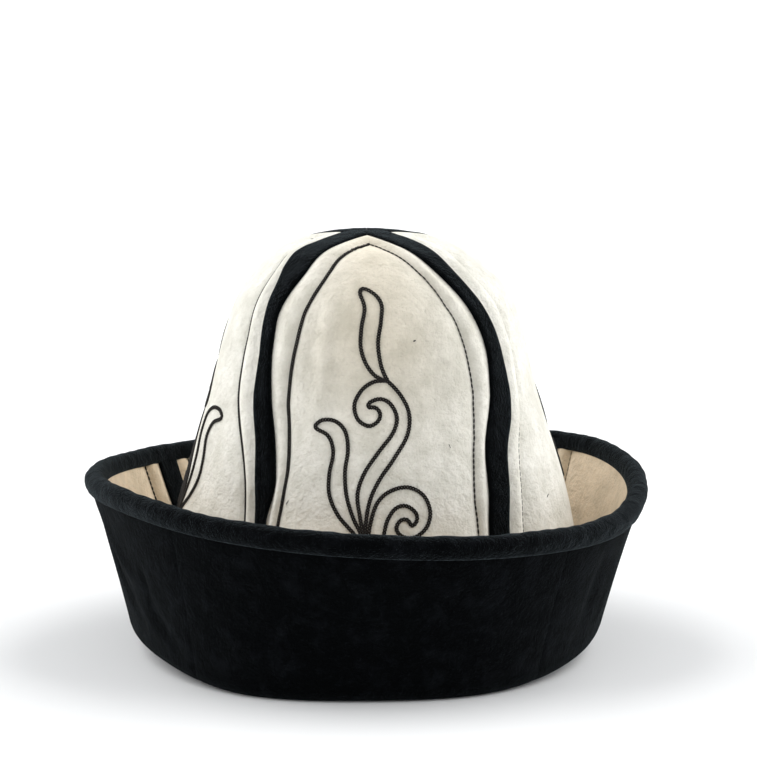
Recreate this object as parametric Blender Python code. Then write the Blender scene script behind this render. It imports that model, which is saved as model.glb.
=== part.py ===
"""Kalpak, a felt hat: four white felt gores under velvet seam bands, with the brim turned up.

Each gore runs from the crown's tip down to the fold at the base and up again as the brim's
inner face. Velvet panels face the brim's outer side and wrap under the fold, a flat velvet
band covers each seam, and a padded velvet binding closes the rim.

Units are metres. The origin is on the table under the middle of the hat, +Z is up and the
front gore faces -Y. The felt's outer face is one surface, read at an azimuth (0 at the
front, positive towards +X) and a station: 0 at the tip, FOLD_STATION where the fold begins,
BRIM_STATION where the brim's wall begins and RIM_STATION at its upper edge. The other
layers lie at a depth behind that face, and a negative depth stands proud of it.
"""

import math
from collections import namedtuple

import bmesh
import bpy
from mathutils import Vector

# Driving dimensions
HEAD_HALF_WIDTH = 0.0962
HEAD_HALF_DEPTH = 0.0914
CROWN_HEIGHT = 0.1845
BRIM_HEIGHT = 0.0656
BRIM_FLARE = 0.0172
FELT = 0.003
VELVET = 0.0015
FOLD_RADIUS = 0.003
REST_SINK = 0.0005
BAND_HALF_WIDTH = 0.006
BAND_THICKNESS = 0.0012
BINDING_THICKNESS = 0.0016
BINDING_OUTER_LEG = 0.0034
BINDING_INNER_LEG = 0.0032
BAND_CLEARANCE = 0.0015
BAND_STANDOFF = 0.0008
FACING_HEM = 0.010
TIP_RADIUS = 0.001
GAP = 0.0003

# Angles of the profile's tangent where the fold takes over from the crown and hands on to
# the brim, in degrees above the horizontal
CROWN_RUN_IN = -80.0
BRIM_RUN_OUT = 74.0

# The crown's rows, from the tip down. height is a share of CROWN_HEIGHT, width and shift
# are shares of HEAD_HALF_WIDTH, front and back are shares of HEAD_HALF_DEPTH, and the seams
# are in degrees: the front pair from the front, the back pair from the back.
CrownRow = namedtuple("CrownRow", "height width front back shift left_seam right_seam back_seam")
CROWN_ROWS = (
    CrownRow(1.000, 0.000, 0.000, 0.000, 0.004, 45.0, 45.0, 45.0),
    CrownRow(0.993, 0.165, 0.174, 0.174, 0.004, 45.0, 42.0, 45.0),
    CrownRow(0.970, 0.370, 0.370, 0.375, 0.018, 45.5, 39.8, 45.0),
    CrownRow(0.928, 0.488, 0.490, 0.500, 0.030, 46.3, 41.2, 45.0),
    CrownRow(0.855, 0.612, 0.605, 0.615, 0.038, 47.0, 46.5, 45.0),
    CrownRow(0.765, 0.683, 0.675, 0.690, 0.038, 45.4, 50.0, 45.0),
    CrownRow(0.658, 0.742, 0.735, 0.750, 0.038, 43.2, 49.3, 45.0),
    CrownRow(0.538, 0.808, 0.795, 0.815, 0.040, 38.0, 42.0, 45.0),
    CrownRow(0.411, 0.873, 0.860, 0.875, 0.041, 34.3, 38.6, 45.0),
    CrownRow(0.286, 0.923, 0.915, 0.925, 0.034, 33.1, 36.8, 45.5),
    CrownRow(0.162, 0.965, 0.963, 0.964, 0.018, 35.5, 38.4, 46.5),
)
# On the brim the back pair part: front left, front right, back right, back left
FOLD_SEAMS = (41.0, 41.0, 47.0, 47.5)
RIM_SEAMS = (43.0, 43.0, 48.0, 53.0)

# The brim's rows, every 30 degrees from the front towards +X, as shares of BRIM_HEIGHT: rise
# lifts the rim, lift raises the fold off the table, and sag and lean move the fold and the
# rim outwards.
BrimRow = namedtuple("BrimRow", "rise lift sag lean")
BRIM_ROWS = (
    BrimRow(-0.010, 0.000, 0.035, 0.000),
    BrimRow(-0.060, 0.000, 0.070, 0.015),
    BrimRow(-0.075, 0.060, 0.030, 0.020),
    BrimRow(0.030, 0.150, 0.000, 0.000),
    BrimRow(0.070, 0.050, 0.000, 0.005),
    BrimRow(0.010, 0.000, 0.000, 0.000),
    BrimRow(-0.015, 0.000, 0.000, 0.000),
    BrimRow(-0.040, 0.000, 0.005, 0.005),
    BrimRow(-0.015, 0.050, 0.005, 0.008),
    BrimRow(0.045, 0.110, 0.000, 0.000),
    BrimRow(0.085, 0.075, 0.030, -0.020),
    BrimRow(0.030, 0.000, 0.085, -0.030),
)

FOLD_STATION = len(CROWN_ROWS)
BRIM_STATION = FOLD_STATION + 1
RIM_STATION = BRIM_STATION + 1
SETTLE_STATION = FOLD_STATION - 3

BRIM_WALL = FELT + GAP + VELVET
FOLD_HALF_WIDTH = HEAD_HALF_WIDTH + FOLD_RADIUS
FOLD_HALF_DEPTH = HEAD_HALF_DEPTH + FOLD_RADIUS
FOLD_CENTRE_HEIGHT = FOLD_RADIUS + BRIM_WALL - REST_SINK
BRIM_LENGTH = math.hypot(BRIM_HEIGHT, BRIM_FLARE)

# Steps of the faceted layers
CROWN_STATIONS = (0.33, 0.66, 1.0, 1.5, 2.0, 2.5, 3.0, 3.5, 4.0, 5.0, 6.0, 7.0, 8.0, 9.0, 10.0)
FOLD_STEPS = 5
BRIM_SHARES = (0.33, 0.66)
GORE_INNER_COLUMNS = 7
MITRE_BLEND = 0.012
SEAM_SAMPLES = 600
STEP = 1e-4

Section = namedtuple("Section", "height width front back shift")
Material = namedtuple("Material", "name colour roughness")
FELT_WHITE = Material("white_felt", (0.86, 0.82, 0.74, 1.0), 0.95)
VELVET_BLACK = Material("black_velvet", (0.012, 0.012, 0.015, 1.0), 0.85)

GORE_NAMES = ("front", "right", "back", "left")
SEAM_NAMES = ("front_left", "front_right", "back_right", "back_left")


def spline(before, start, end, after, share):
    """Catmull-Rom value between start and end."""
    slope_in = (end - before) / 2
    slope_out = (after - start) / 2
    cubic = 2 * start - 2 * end + slope_in + slope_out
    square = 3 * end - 3 * start - 2 * slope_in - slope_out
    return start + share * (slope_in + share * (square + share * cubic))


def clamp(value):
    return min(1.0, max(0.0, value))


def ease(value):
    """Smooth step from 0 to 1."""
    value = clamp(value)
    return value * value * (3 - 2 * value)


def fold_reach(angle):
    """How far the fold's face lies outside the fold's centre line at a tangent angle."""
    return FOLD_RADIUS * math.sin(math.radians(angle))


def fold_drop(angle):
    """How far the fold's face lies under the fold's centre at a tangent angle."""
    return FOLD_RADIUS * math.cos(math.radians(angle))


def crown_table():
    """CROWN_ROWS in metres, closed by the row where the fold begins."""
    rows = [
        Section(
            row.height * CROWN_HEIGHT,
            row.width * HEAD_HALF_WIDTH,
            row.front * HEAD_HALF_DEPTH,
            row.back * HEAD_HALF_DEPTH,
            row.shift * HEAD_HALF_WIDTH,
        )
        for row in CROWN_ROWS
    ]
    reach = fold_reach(CROWN_RUN_IN)
    depth = FOLD_HALF_DEPTH + reach
    height = FOLD_CENTRE_HEIGHT - fold_drop(CROWN_RUN_IN)
    rows.append(Section(height, FOLD_HALF_WIDTH + reach, depth, depth, 0.0))
    return rows


CROWN_TABLE = crown_table()


def mirrored_over_tip(row):
    """The row that would follow if the profile ran on through the tip to the other side."""
    return Section(row.height, -row.width, -row.front, -row.back, row.shift)


def continued(last, previous):
    """A row past the last one, so that the curve leaves it in a straight line."""
    return Section(*(2 * a - b for a, b in zip(last, previous)))


def crown_section(station):
    """The crown's section at a station from 0 to FOLD_STATION."""
    start = min(int(station), FOLD_STATION - 1)
    rows = [mirrored_over_tip(CROWN_TABLE[1]), *CROWN_TABLE]
    rows.append(continued(CROWN_TABLE[-1], CROWN_TABLE[-2]))
    return Section(*(spline(*column, station - start) for column in zip(*rows[start : start + 4])))


def brim_value(column, azimuth):
    """A column of BRIM_ROWS at an azimuth, on a closed smooth curve."""
    count = len(BRIM_ROWS)
    place = (azimuth / math.tau) % 1.0 * count
    start = int(place)
    values = [getattr(BRIM_ROWS[(start + offset) % count], column) for offset in (-1, 0, 1, 2)]
    return spline(*values, place - start)


def fold_section(station):
    """The section along the fold, a round turn from the crown's wall to the brim's."""
    share = station - FOLD_STATION
    angle = CROWN_RUN_IN + share * (BRIM_RUN_OUT - CROWN_RUN_IN)
    depth = FOLD_HALF_DEPTH + fold_reach(angle)
    width = FOLD_HALF_WIDTH + fold_reach(angle)
    return Section(FOLD_CENTRE_HEIGHT - fold_drop(angle), width, depth, depth, 0.0)


def brim_section(station, azimuth):
    """The section up the brim's wall, which leans out a little more towards its edge."""
    share = station - BRIM_STATION
    reach = fold_reach(BRIM_RUN_OUT) + BRIM_FLARE * share * (0.88 + 0.12 * share)
    upright = BRIM_HEIGHT * (1 + brim_value("rise", azimuth))
    height = FOLD_CENTRE_HEIGHT - fold_drop(BRIM_RUN_OUT) + share * upright
    depth = FOLD_HALF_DEPTH + reach
    return Section(height, FOLD_HALF_WIDTH + reach, depth, depth, 0.0)


def section_at(azimuth, station):
    if station <= FOLD_STATION:
        return crown_section(station)
    if station <= BRIM_STATION:
        return fold_section(station)
    return brim_section(station, azimuth)


def felt_point(azimuth, station):
    """A point of the felt's outer face."""
    section = section_at(azimuth, station)
    across = math.sin(azimuth)
    ahead = math.cos(azimuth)
    settled = ease((station - SETTLE_STATION) / (FOLD_STATION - SETTLE_STATION))
    folded = settled * clamp(RIM_STATION - station)
    lift = BRIM_HEIGHT * brim_value("lift", azimuth) * folded
    spread = BRIM_HEIGHT * (
        brim_value("sag", azimuth) * folded + brim_value("lean", azimuth) * (settled - folded)
    )
    depth = section.front if ahead > 0 else section.back
    return Vector((
        section.shift + (section.width + spread) * across,
        -(depth + spread) * ahead,
        section.height + lift,
    ))


def azimuth_slope(azimuth, station):
    """Change of felt_point for each radian of azimuth."""
    return (felt_point(azimuth + STEP, station) - felt_point(azimuth - STEP, station)) / (2 * STEP)


def station_slope(azimuth, station):
    """Change of felt_point for each station, read inside the stretch the station is in."""
    low = max(station - STEP, 0.0)
    high = min(station + STEP, RIM_STATION)
    return (felt_point(azimuth, high) - felt_point(azimuth, low)) / (high - low)


def felt_normal(azimuth, station):
    """Direction out of the felt's outer face, so towards the gutter on the brim."""
    return station_slope(azimuth, station).cross(azimuth_slope(azimuth, station)).normalized()


def layer_point(azimuth, station, depth):
    """A point behind the felt's outer face, kept at or above the table."""
    point = felt_point(azimuth, station) - felt_normal(azimuth, station) * depth
    point.z = max(point.z, 0.0)
    return point


def seam_azimuths(station):
    """The four seams' azimuths at a station: front left, front right, back right, back left."""
    rows = [(row.left_seam, row.right_seam, row.back_seam, row.back_seam) for row in CROWN_ROWS]
    rows = [rows[0], *rows, FOLD_SEAMS, FOLD_SEAMS, RIM_SEAMS, RIM_SEAMS]
    start = min(int(station), RIM_STATION - 1)
    left, right, back_right, back_left = (
        math.radians(spline(*column, station - start)) for column in zip(*rows[start : start + 4])
    )
    return -left, right, math.pi - back_right, math.pi + back_left


def gore_azimuths(gore, station):
    """A gore's columns at a station: its edges, its band's edges and an even row between."""
    seams = seam_azimuths(station)
    start = seams[gore]
    end = seams[(gore + 1) % 4]
    if end < start:
        end += math.tau
    inset = GAP / 2 / azimuth_slope(start, station).length
    band = min(BAND_HALF_WIDTH / azimuth_slope(start, station).length, (end - start) / 8)
    first = start + band
    last = end - band
    count = GORE_INNER_COLUMNS + 1
    inner = [first + (last - first) * step / count for step in range(count + 1)]
    return [start + inset, *inner, end - inset]


def gore_stations():
    """Stations from the tip's small opening to the rim, the facing's hem among them."""
    tip = TIP_RADIUS / CROWN_TABLE[1].width
    hem = hem_station()
    fold = [FOLD_STATION + step / FOLD_STEPS for step in range(FOLD_STEPS + 1)]
    brim = [BRIM_STATION + share for share in BRIM_SHARES]
    edge = [leg_station(BINDING_OUTER_LEG), RIM_STATION]
    return [tip, *CROWN_STATIONS, hem, *fold, *brim, *edge]


def hem_station():
    """The station of the facing's upper edge, inside the head opening."""
    return FOLD_STATION - FACING_HEM / (CROWN_TABLE[-2].height - CROWN_TABLE[-1].height)


def leg_station(leg):
    """The station on the brim that lies a length below the rim."""
    return RIM_STATION - leg / BRIM_LENGTH


def add_object(name, mesh, material):
    """Links a shaded object for a mesh, in the hat's collection."""
    mesh.shade_smooth()
    mesh.set_sharp_from_angle(angle=math.radians(50))
    mesh.materials.append(make_material(material))
    obj = bpy.data.objects.new(name, mesh)
    bpy.data.collections["kalpak"].objects.link(obj)
    return obj


def make_material(finish):
    made = bpy.data.materials.get(finish.name)
    if made is None:
        made = bpy.data.materials.new(finish.name)
        made.use_nodes = True
        shader = made.node_tree.nodes["Principled BSDF"]
        shader.inputs["Base Color"].default_value = finish.colour
        shader.inputs["Roughness"].default_value = finish.roughness
        shader.inputs["Metallic"].default_value = 0.0
    return made


def add_layer(name, columns, rows, place, material):
    """A closed sheet: a grid made two faces deep, each vertex then moved by
    place(column, row, face), which keeps the grid's right-handed order."""
    mesh = bpy.data.meshes.new(name)
    grid = bmesh.new()
    bmesh.ops.create_grid(grid, x_segments=columns - 1, y_segments=rows - 1, size=0.5)
    made = bmesh.ops.extrude_face_region(grid, geom=grid.faces[:], use_keep_orig=True)
    for item in made["geom"]:
        if isinstance(item, bmesh.types.BMVert):
            item.co.z = 1.0
    bmesh.ops.recalc_face_normals(grid, faces=grid.faces[:])
    for vert in grid.verts:
        column = round((vert.co.x + 0.5) * (columns - 1))
        row = round((vert.co.y + 0.5) * (rows - 1))
        vert.co = place(column, row, round(vert.co.z))
    grid.to_mesh(mesh)
    grid.free()
    return add_object(name, mesh, material)


def add_gore(gore):
    """One felt gore, from the tip over the fold to the rim."""
    stations = gore_stations()
    columns = [gore_azimuths(gore, station) for station in stations]

    def place(column, row, face):
        return layer_point(columns[row][column], stations[row], face * FELT)

    name = f"gore_{GORE_NAMES[gore]}"
    add_layer(name, len(columns[0]), len(stations), place, FELT_WHITE)


def add_facing(gore):
    """The velvet panel behind one gore, from its hem inside the head opening to the rim."""
    stations = [station for station in gore_stations() if station >= hem_station()]
    columns = [gore_azimuths(gore, station) for station in stations]

    def place(column, row, face):
        depth = FELT + GAP + face * VELVET
        return layer_point(columns[row][column], stations[row], depth)

    name = f"facing_{GORE_NAMES[gore]}"
    add_layer(name, len(columns[0]), len(stations), place, VELVET_BLACK)


class SeamPath:
    """A seam's line on the felt, read by its length from the tip."""

    def __init__(self, seam):
        self.seam = seam
        self.stations = [RIM_STATION * step / SEAM_SAMPLES for step in range(SEAM_SAMPLES + 1)]
        self.points = [self.point(station) for station in self.stations]
        self.lengths = [0.0]
        for start, end in zip(self.points, self.points[1:]):
            self.lengths.append(self.lengths[-1] + (end - start).length)

    def point(self, station):
        return felt_point(seam_azimuths(station)[self.seam], station)

    def read(self, values, keys, wanted):
        """The value that goes with a wanted key, between the samples on either side of it."""
        index = next(i for i in range(1, len(keys)) if keys[i] >= wanted or i == SEAM_SAMPLES)
        share = (wanted - keys[index - 1]) / (keys[index] - keys[index - 1])
        return values[index - 1] + share * (values[index] - values[index - 1])

    def station(self, length):
        return self.read(self.stations, self.lengths, length)

    def length(self, station):
        return self.read(self.lengths, self.stations, station)

    def place(self, length, across, height):
        """A point beside the seam and over the felt."""
        station = self.station(length)
        step = self.stations[1]
        before = self.point(max(station - step / 2, 0.0))
        after = self.point(min(station + step / 2, RIM_STATION))
        normal = felt_normal(seam_azimuths(max(station, STEP))[self.seam], max(station, STEP))
        side = (after - before).cross(normal).normalized()
        return self.point(station) + side * across + normal * height


def add_band(seam):
    """The velvet band over one seam. Its upper end is cut to a point, which meets the other
    three at the tip, and its lower end stops just under the binding."""
    path = SeamPath(seam)
    first = GAP / 2 * math.sqrt(2)
    end = leg_station(BINDING_INNER_LEG + BAND_CLEARANCE)
    stations = [s for s in gore_stations() if CROWN_STATIONS[0] <= s < end - 0.02]
    lengths = [first, *(path.length(station) for station in stations), path.length(end)]

    def place(column, row, face):
        across = (column - 1) * BAND_HALF_WIDTH
        cut = abs(across) * clamp(1 - (lengths[row] - first) / MITRE_BLEND)
        crowned = BAND_THICKNESS * (1.0 if column == 1 else 0.7)
        return path.place(lengths[row] + cut, across, BAND_STANDOFF + face * crowned)

    add_layer(f"band_{SEAM_NAMES[seam]}", 3, len(lengths), place, VELVET_BLACK)


def binding_outline():
    """The binding's channel as (station, rise over the rim, depth), from the outer leg over
    the rim to the inner leg and back along the inside."""
    mid = BRIM_WALL / 2
    radius = mid + GAP + BINDING_THICKNESS
    outline = [(leg_station(BINDING_OUTER_LEG), 0.0, BRIM_WALL + GAP + 0.6 * BINDING_THICKNESS)]
    for angle in (0, 45, 90, 135, 180):
        turn = math.radians(angle)
        outline.append((RIM_STATION, GAP + radius * math.sin(turn), mid + radius * math.cos(turn)))
    outline += [
        (leg_station(BINDING_INNER_LEG), 0.0, -GAP - 0.6 * BINDING_THICKNESS),
        (leg_station(BINDING_INNER_LEG), 0.0, -GAP),
        (RIM_STATION, 1.5 * GAP, -GAP),
        (RIM_STATION, 1.5 * GAP, BRIM_WALL + GAP),
        (leg_station(BINDING_OUTER_LEG), 0.0, BRIM_WALL + GAP),
    ]
    return outline


def add_binding():
    """The padded binding, a torus whose rings are moved to the channel's outline."""
    azimuths = [a for gore in range(4) for a in gore_azimuths(gore, RIM_STATION)[1:-1]]
    outline = binding_outline()
    bpy.ops.mesh.primitive_torus_add(major_segments=len(azimuths), minor_segments=len(outline))
    torus = bpy.context.object
    mesh = torus.data.copy()
    bpy.data.objects.remove(torus)
    for vert in mesh.vertices:
        azimuth = azimuths[vert.index // len(outline)]
        station, rise, depth = outline[vert.index % len(outline)]
        upward = station_slope(azimuth, RIM_STATION).normalized()
        vert.co = layer_point(azimuth, station, depth) + upward * rise
    mesh.name = "binding"
    add_object("binding", mesh, VELVET_BLACK)


def main():
    for obj in list(bpy.data.objects):
        bpy.data.objects.remove(obj)
    collection = bpy.data.collections.new("kalpak")
    bpy.context.scene.collection.children.link(collection)
    for index in range(4):
        add_gore(index)
        add_facing(index)
        add_band(index)
    add_binding()


main()
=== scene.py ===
"""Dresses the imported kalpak: white felt gores, black velvet seam bands, facing and rim binding.

Every cloth piece lies on one surface, the felt's outer face, which runs from the crown's tip
over the fold at the base and up the brim. It is read at an azimuth (0 at the front, positive
towards +X) and a station (0 at the tip), as in the part's source, with the soft shape of the
real cloth added. Sizes are in metres.
"""

from __future__ import annotations

import logging
import math
from dataclasses import dataclass, field
from enum import Enum
from typing import Callable

import bmesh
import bpy
import numpy as np
from mathutils import Matrix, Vector
from mathutils.bvhtree import BVHTree

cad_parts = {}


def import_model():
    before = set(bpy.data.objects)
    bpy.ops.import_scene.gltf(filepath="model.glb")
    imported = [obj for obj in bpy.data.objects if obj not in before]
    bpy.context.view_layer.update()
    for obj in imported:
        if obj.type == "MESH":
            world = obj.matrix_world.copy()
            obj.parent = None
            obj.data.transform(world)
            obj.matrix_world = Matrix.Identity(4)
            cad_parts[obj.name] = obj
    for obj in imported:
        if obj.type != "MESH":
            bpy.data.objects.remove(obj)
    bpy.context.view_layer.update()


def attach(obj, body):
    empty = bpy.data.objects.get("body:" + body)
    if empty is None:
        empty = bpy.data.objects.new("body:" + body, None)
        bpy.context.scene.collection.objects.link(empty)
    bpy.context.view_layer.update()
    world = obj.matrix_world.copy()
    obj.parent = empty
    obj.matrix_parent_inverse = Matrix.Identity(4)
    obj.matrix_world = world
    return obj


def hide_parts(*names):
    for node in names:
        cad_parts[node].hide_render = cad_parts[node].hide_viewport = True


log = logging.getLogger("kalpak")

# Gives the points of a sheet for arrays of columns, rows and faces
Placer = Callable[[np.ndarray, np.ndarray, np.ndarray], np.ndarray]

BODY = "root"
# Attribute of the gores that says where the felt's painted warm shade inside the brim falls
BRIM_SHADE_ATTRIBUTE = "brim_inside_painted_shade"
# Attribute of the gores that says where the front gore's painted shade falls
FRONT_SHADE_ATTRIBUTE = "front_painted_shade"
SHARP_ANGLE = 62.0


class Gore(Enum):
    """The four gores, in order round the crown, with the side that each one faces."""

    FRONT = 0
    RIGHT = 1
    BACK = 2
    LEFT = 3

    @property
    def side(self) -> str:
        """The side's plain name, as the CAD nodes spell it."""
        return self.name.lower()


class Seam(Enum):
    """The four seams between gores. A seam starts the gore of the same number."""

    FRONT_LEFT = 0
    FRONT_RIGHT = 1
    BACK_RIGHT = 2
    BACK_LEFT = 3

    @property
    def corner(self) -> str:
        """The corner's plain name, as the CAD nodes spell it."""
        return self.name.lower()


def spline(knots: np.ndarray, place: np.ndarray) -> np.ndarray:
    """Catmull-Rom curve through rows of values.

    Args:
        knots: Rows of values, with one spare row before the first and after the last.
        place: Where to read, in rows from the first.

    Returns:
        One row of values for each place.
    """
    start = np.clip(np.floor(place).astype(int), 0, len(knots) - 4)
    share = (place - start)[..., None]
    before, first, last, after = (knots[start + offset] for offset in range(4))
    slope_in = (last - before) / 2
    slope_out = (after - first) / 2
    cubic = 2 * first - 2 * last + slope_in + slope_out
    square = 3 * last - 3 * first - 2 * slope_in - slope_out
    return first + share * (slope_in + share * (square + share * cubic))


def ease(value: np.ndarray) -> np.ndarray:
    """Smooth step from 0 to 1."""
    value = np.clip(value, 0.0, 1.0)
    return value * value * (3 - 2 * value)


def bump(distance: np.ndarray, width: float) -> np.ndarray:
    """A soft hump of height 1, about two widths across."""
    return np.exp(-((distance / width) ** 2))


def unit(vectors: np.ndarray) -> np.ndarray:
    """The vectors scaled to length 1."""
    return vectors / np.maximum(np.linalg.norm(vectors, axis=-1, keepdims=True), 1e-12)


def running_length(points: np.ndarray) -> np.ndarray:
    """Length along a line of points, from its first point to each."""
    steps = np.linalg.norm(np.diff(points, axis=0), axis=1)
    return np.concatenate([[0.0], np.cumsum(steps)])


def between_rows(place: np.ndarray, known: np.ndarray, rows: np.ndarray) -> np.ndarray:
    """Reads rows of values that are known at some places, linearly in between."""
    return np.stack([np.interp(place, known, column) for column in rows.T], axis=-1)


def around(angle: np.ndarray) -> np.ndarray:
    """The angle brought between a half turn back and a half turn ahead."""
    return (angle + math.pi) % math.tau - math.pi


# Rows of the crown from the tip: height, half width, front and back half depth and shift as
# shares of the crown's height and the head's half width and depth, then the azimuths of the
# front left, front right and back seams in degrees.
CROWN_ROWS = (
    (1.000, 0.000, 0.000, 0.000, 0.004, 45.0, 45.0, 45.0),
    (0.993, 0.165, 0.174, 0.174, 0.004, 45.0, 42.0, 45.0),
    (0.970, 0.370, 0.370, 0.375, 0.018, 45.5, 39.8, 45.0),
    (0.928, 0.488, 0.490, 0.500, 0.030, 46.3, 41.2, 45.0),
    (0.855, 0.612, 0.605, 0.615, 0.038, 47.0, 46.5, 45.0),
    (0.765, 0.683, 0.675, 0.690, 0.038, 45.4, 50.0, 45.0),
    (0.658, 0.742, 0.735, 0.750, 0.038, 43.2, 49.3, 45.0),
    (0.538, 0.808, 0.795, 0.815, 0.040, 38.0, 42.0, 45.0),
    (0.411, 0.873, 0.860, 0.875, 0.041, 34.3, 38.6, 45.0),
    (0.286, 0.923, 0.915, 0.925, 0.034, 33.1, 36.8, 45.5),
    (0.162, 0.965, 0.963, 0.964, 0.018, 35.5, 38.4, 46.5),
)
# On the brim the back pair part: front left, front right, back right, back left
FOLD_SEAMS = (41.0, 41.0, 47.0, 47.5)
RIM_SEAMS = (43.0, 43.0, 48.0, 53.0)

# Rows of the brim every 30 degrees from the front towards +X, as shares of its height: the
# rim's rise, the fold's lift off the table, and how far the fold and the rim move outwards.
BRIM_ROWS = (
    (-0.010, 0.000, 0.035, 0.000),
    (-0.060, 0.000, 0.070, 0.015),
    (-0.075, 0.060, 0.030, 0.020),
    (0.030, 0.150, 0.000, 0.000),
    (0.070, 0.050, 0.000, 0.005),
    (0.010, 0.000, 0.000, 0.000),
    (-0.015, 0.000, 0.000, 0.000),
    (-0.040, 0.000, 0.005, 0.005),
    (-0.015, 0.050, 0.005, 0.008),
    (0.045, 0.110, 0.000, 0.000),
    (0.085, 0.075, 0.030, -0.020),
    (0.030, 0.000, 0.085, -0.030),
)

# Soft dents and folds of the cloth: azimuth in degrees, station, reach in degrees, reach in
# stations and depth in metres, where a positive depth is a dent in the felt's outer face.
DENTS = (
    (0.0, 6.0, 36.0, 1.35, 0.0042),
    (-25.0, 4.9, 4.0, 1.2, 0.0015),
    (-15.0, 5.6, 2.6, 1.5, 0.0011),
    (-20.0, 5.2, 2.4, 1.3, -0.0006),
    (-33.0, 6.2, 4.0, 1.2, 0.0010),
    (-4.0, 4.6, 5.0, 0.9, 0.0010),
    (9.0, 5.9, 5.0, 0.9, 0.0007),
    (21.0, 5.0, 6.0, 1.1, 0.0009),
    (-17.0, 8.6, 9.0, 1.1, -0.0012),
    (20.0, 8.6, 8.0, 1.1, -0.0009),
    (-62.0, 6.2, 6.0, 1.8, 0.0009),
    (-74.0, 7.9, 6.0, 1.6, -0.0010),
    (64.0, 7.2, 7.0, 1.6, 0.0009),
    (86.0, 6.6, 16.0, 1.4, 0.0022),
    (72.0, 5.2, 6.0, 1.2, 0.0010),
    (104.0, 8.2, 9.0, 1.3, -0.0010),
    (118.0, 5.4, 6.0, 1.3, 0.0010),
    (176.0, 6.0, 28.0, 1.35, 0.0036),
    (158.0, 5.3, 5.0, 1.3, 0.0012),
    (199.0, 5.8, 4.0, 1.5, 0.0011),
    (190.0, 8.8, 9.0, 1.1, -0.0010),
    (-96.0, 6.5, 14.0, 1.4, 0.0020),
    (-116.0, 7.9, 8.0, 1.3, -0.0010),
    (-110.0, 5.4, 6.0, 1.3, 0.0010),
)


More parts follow.
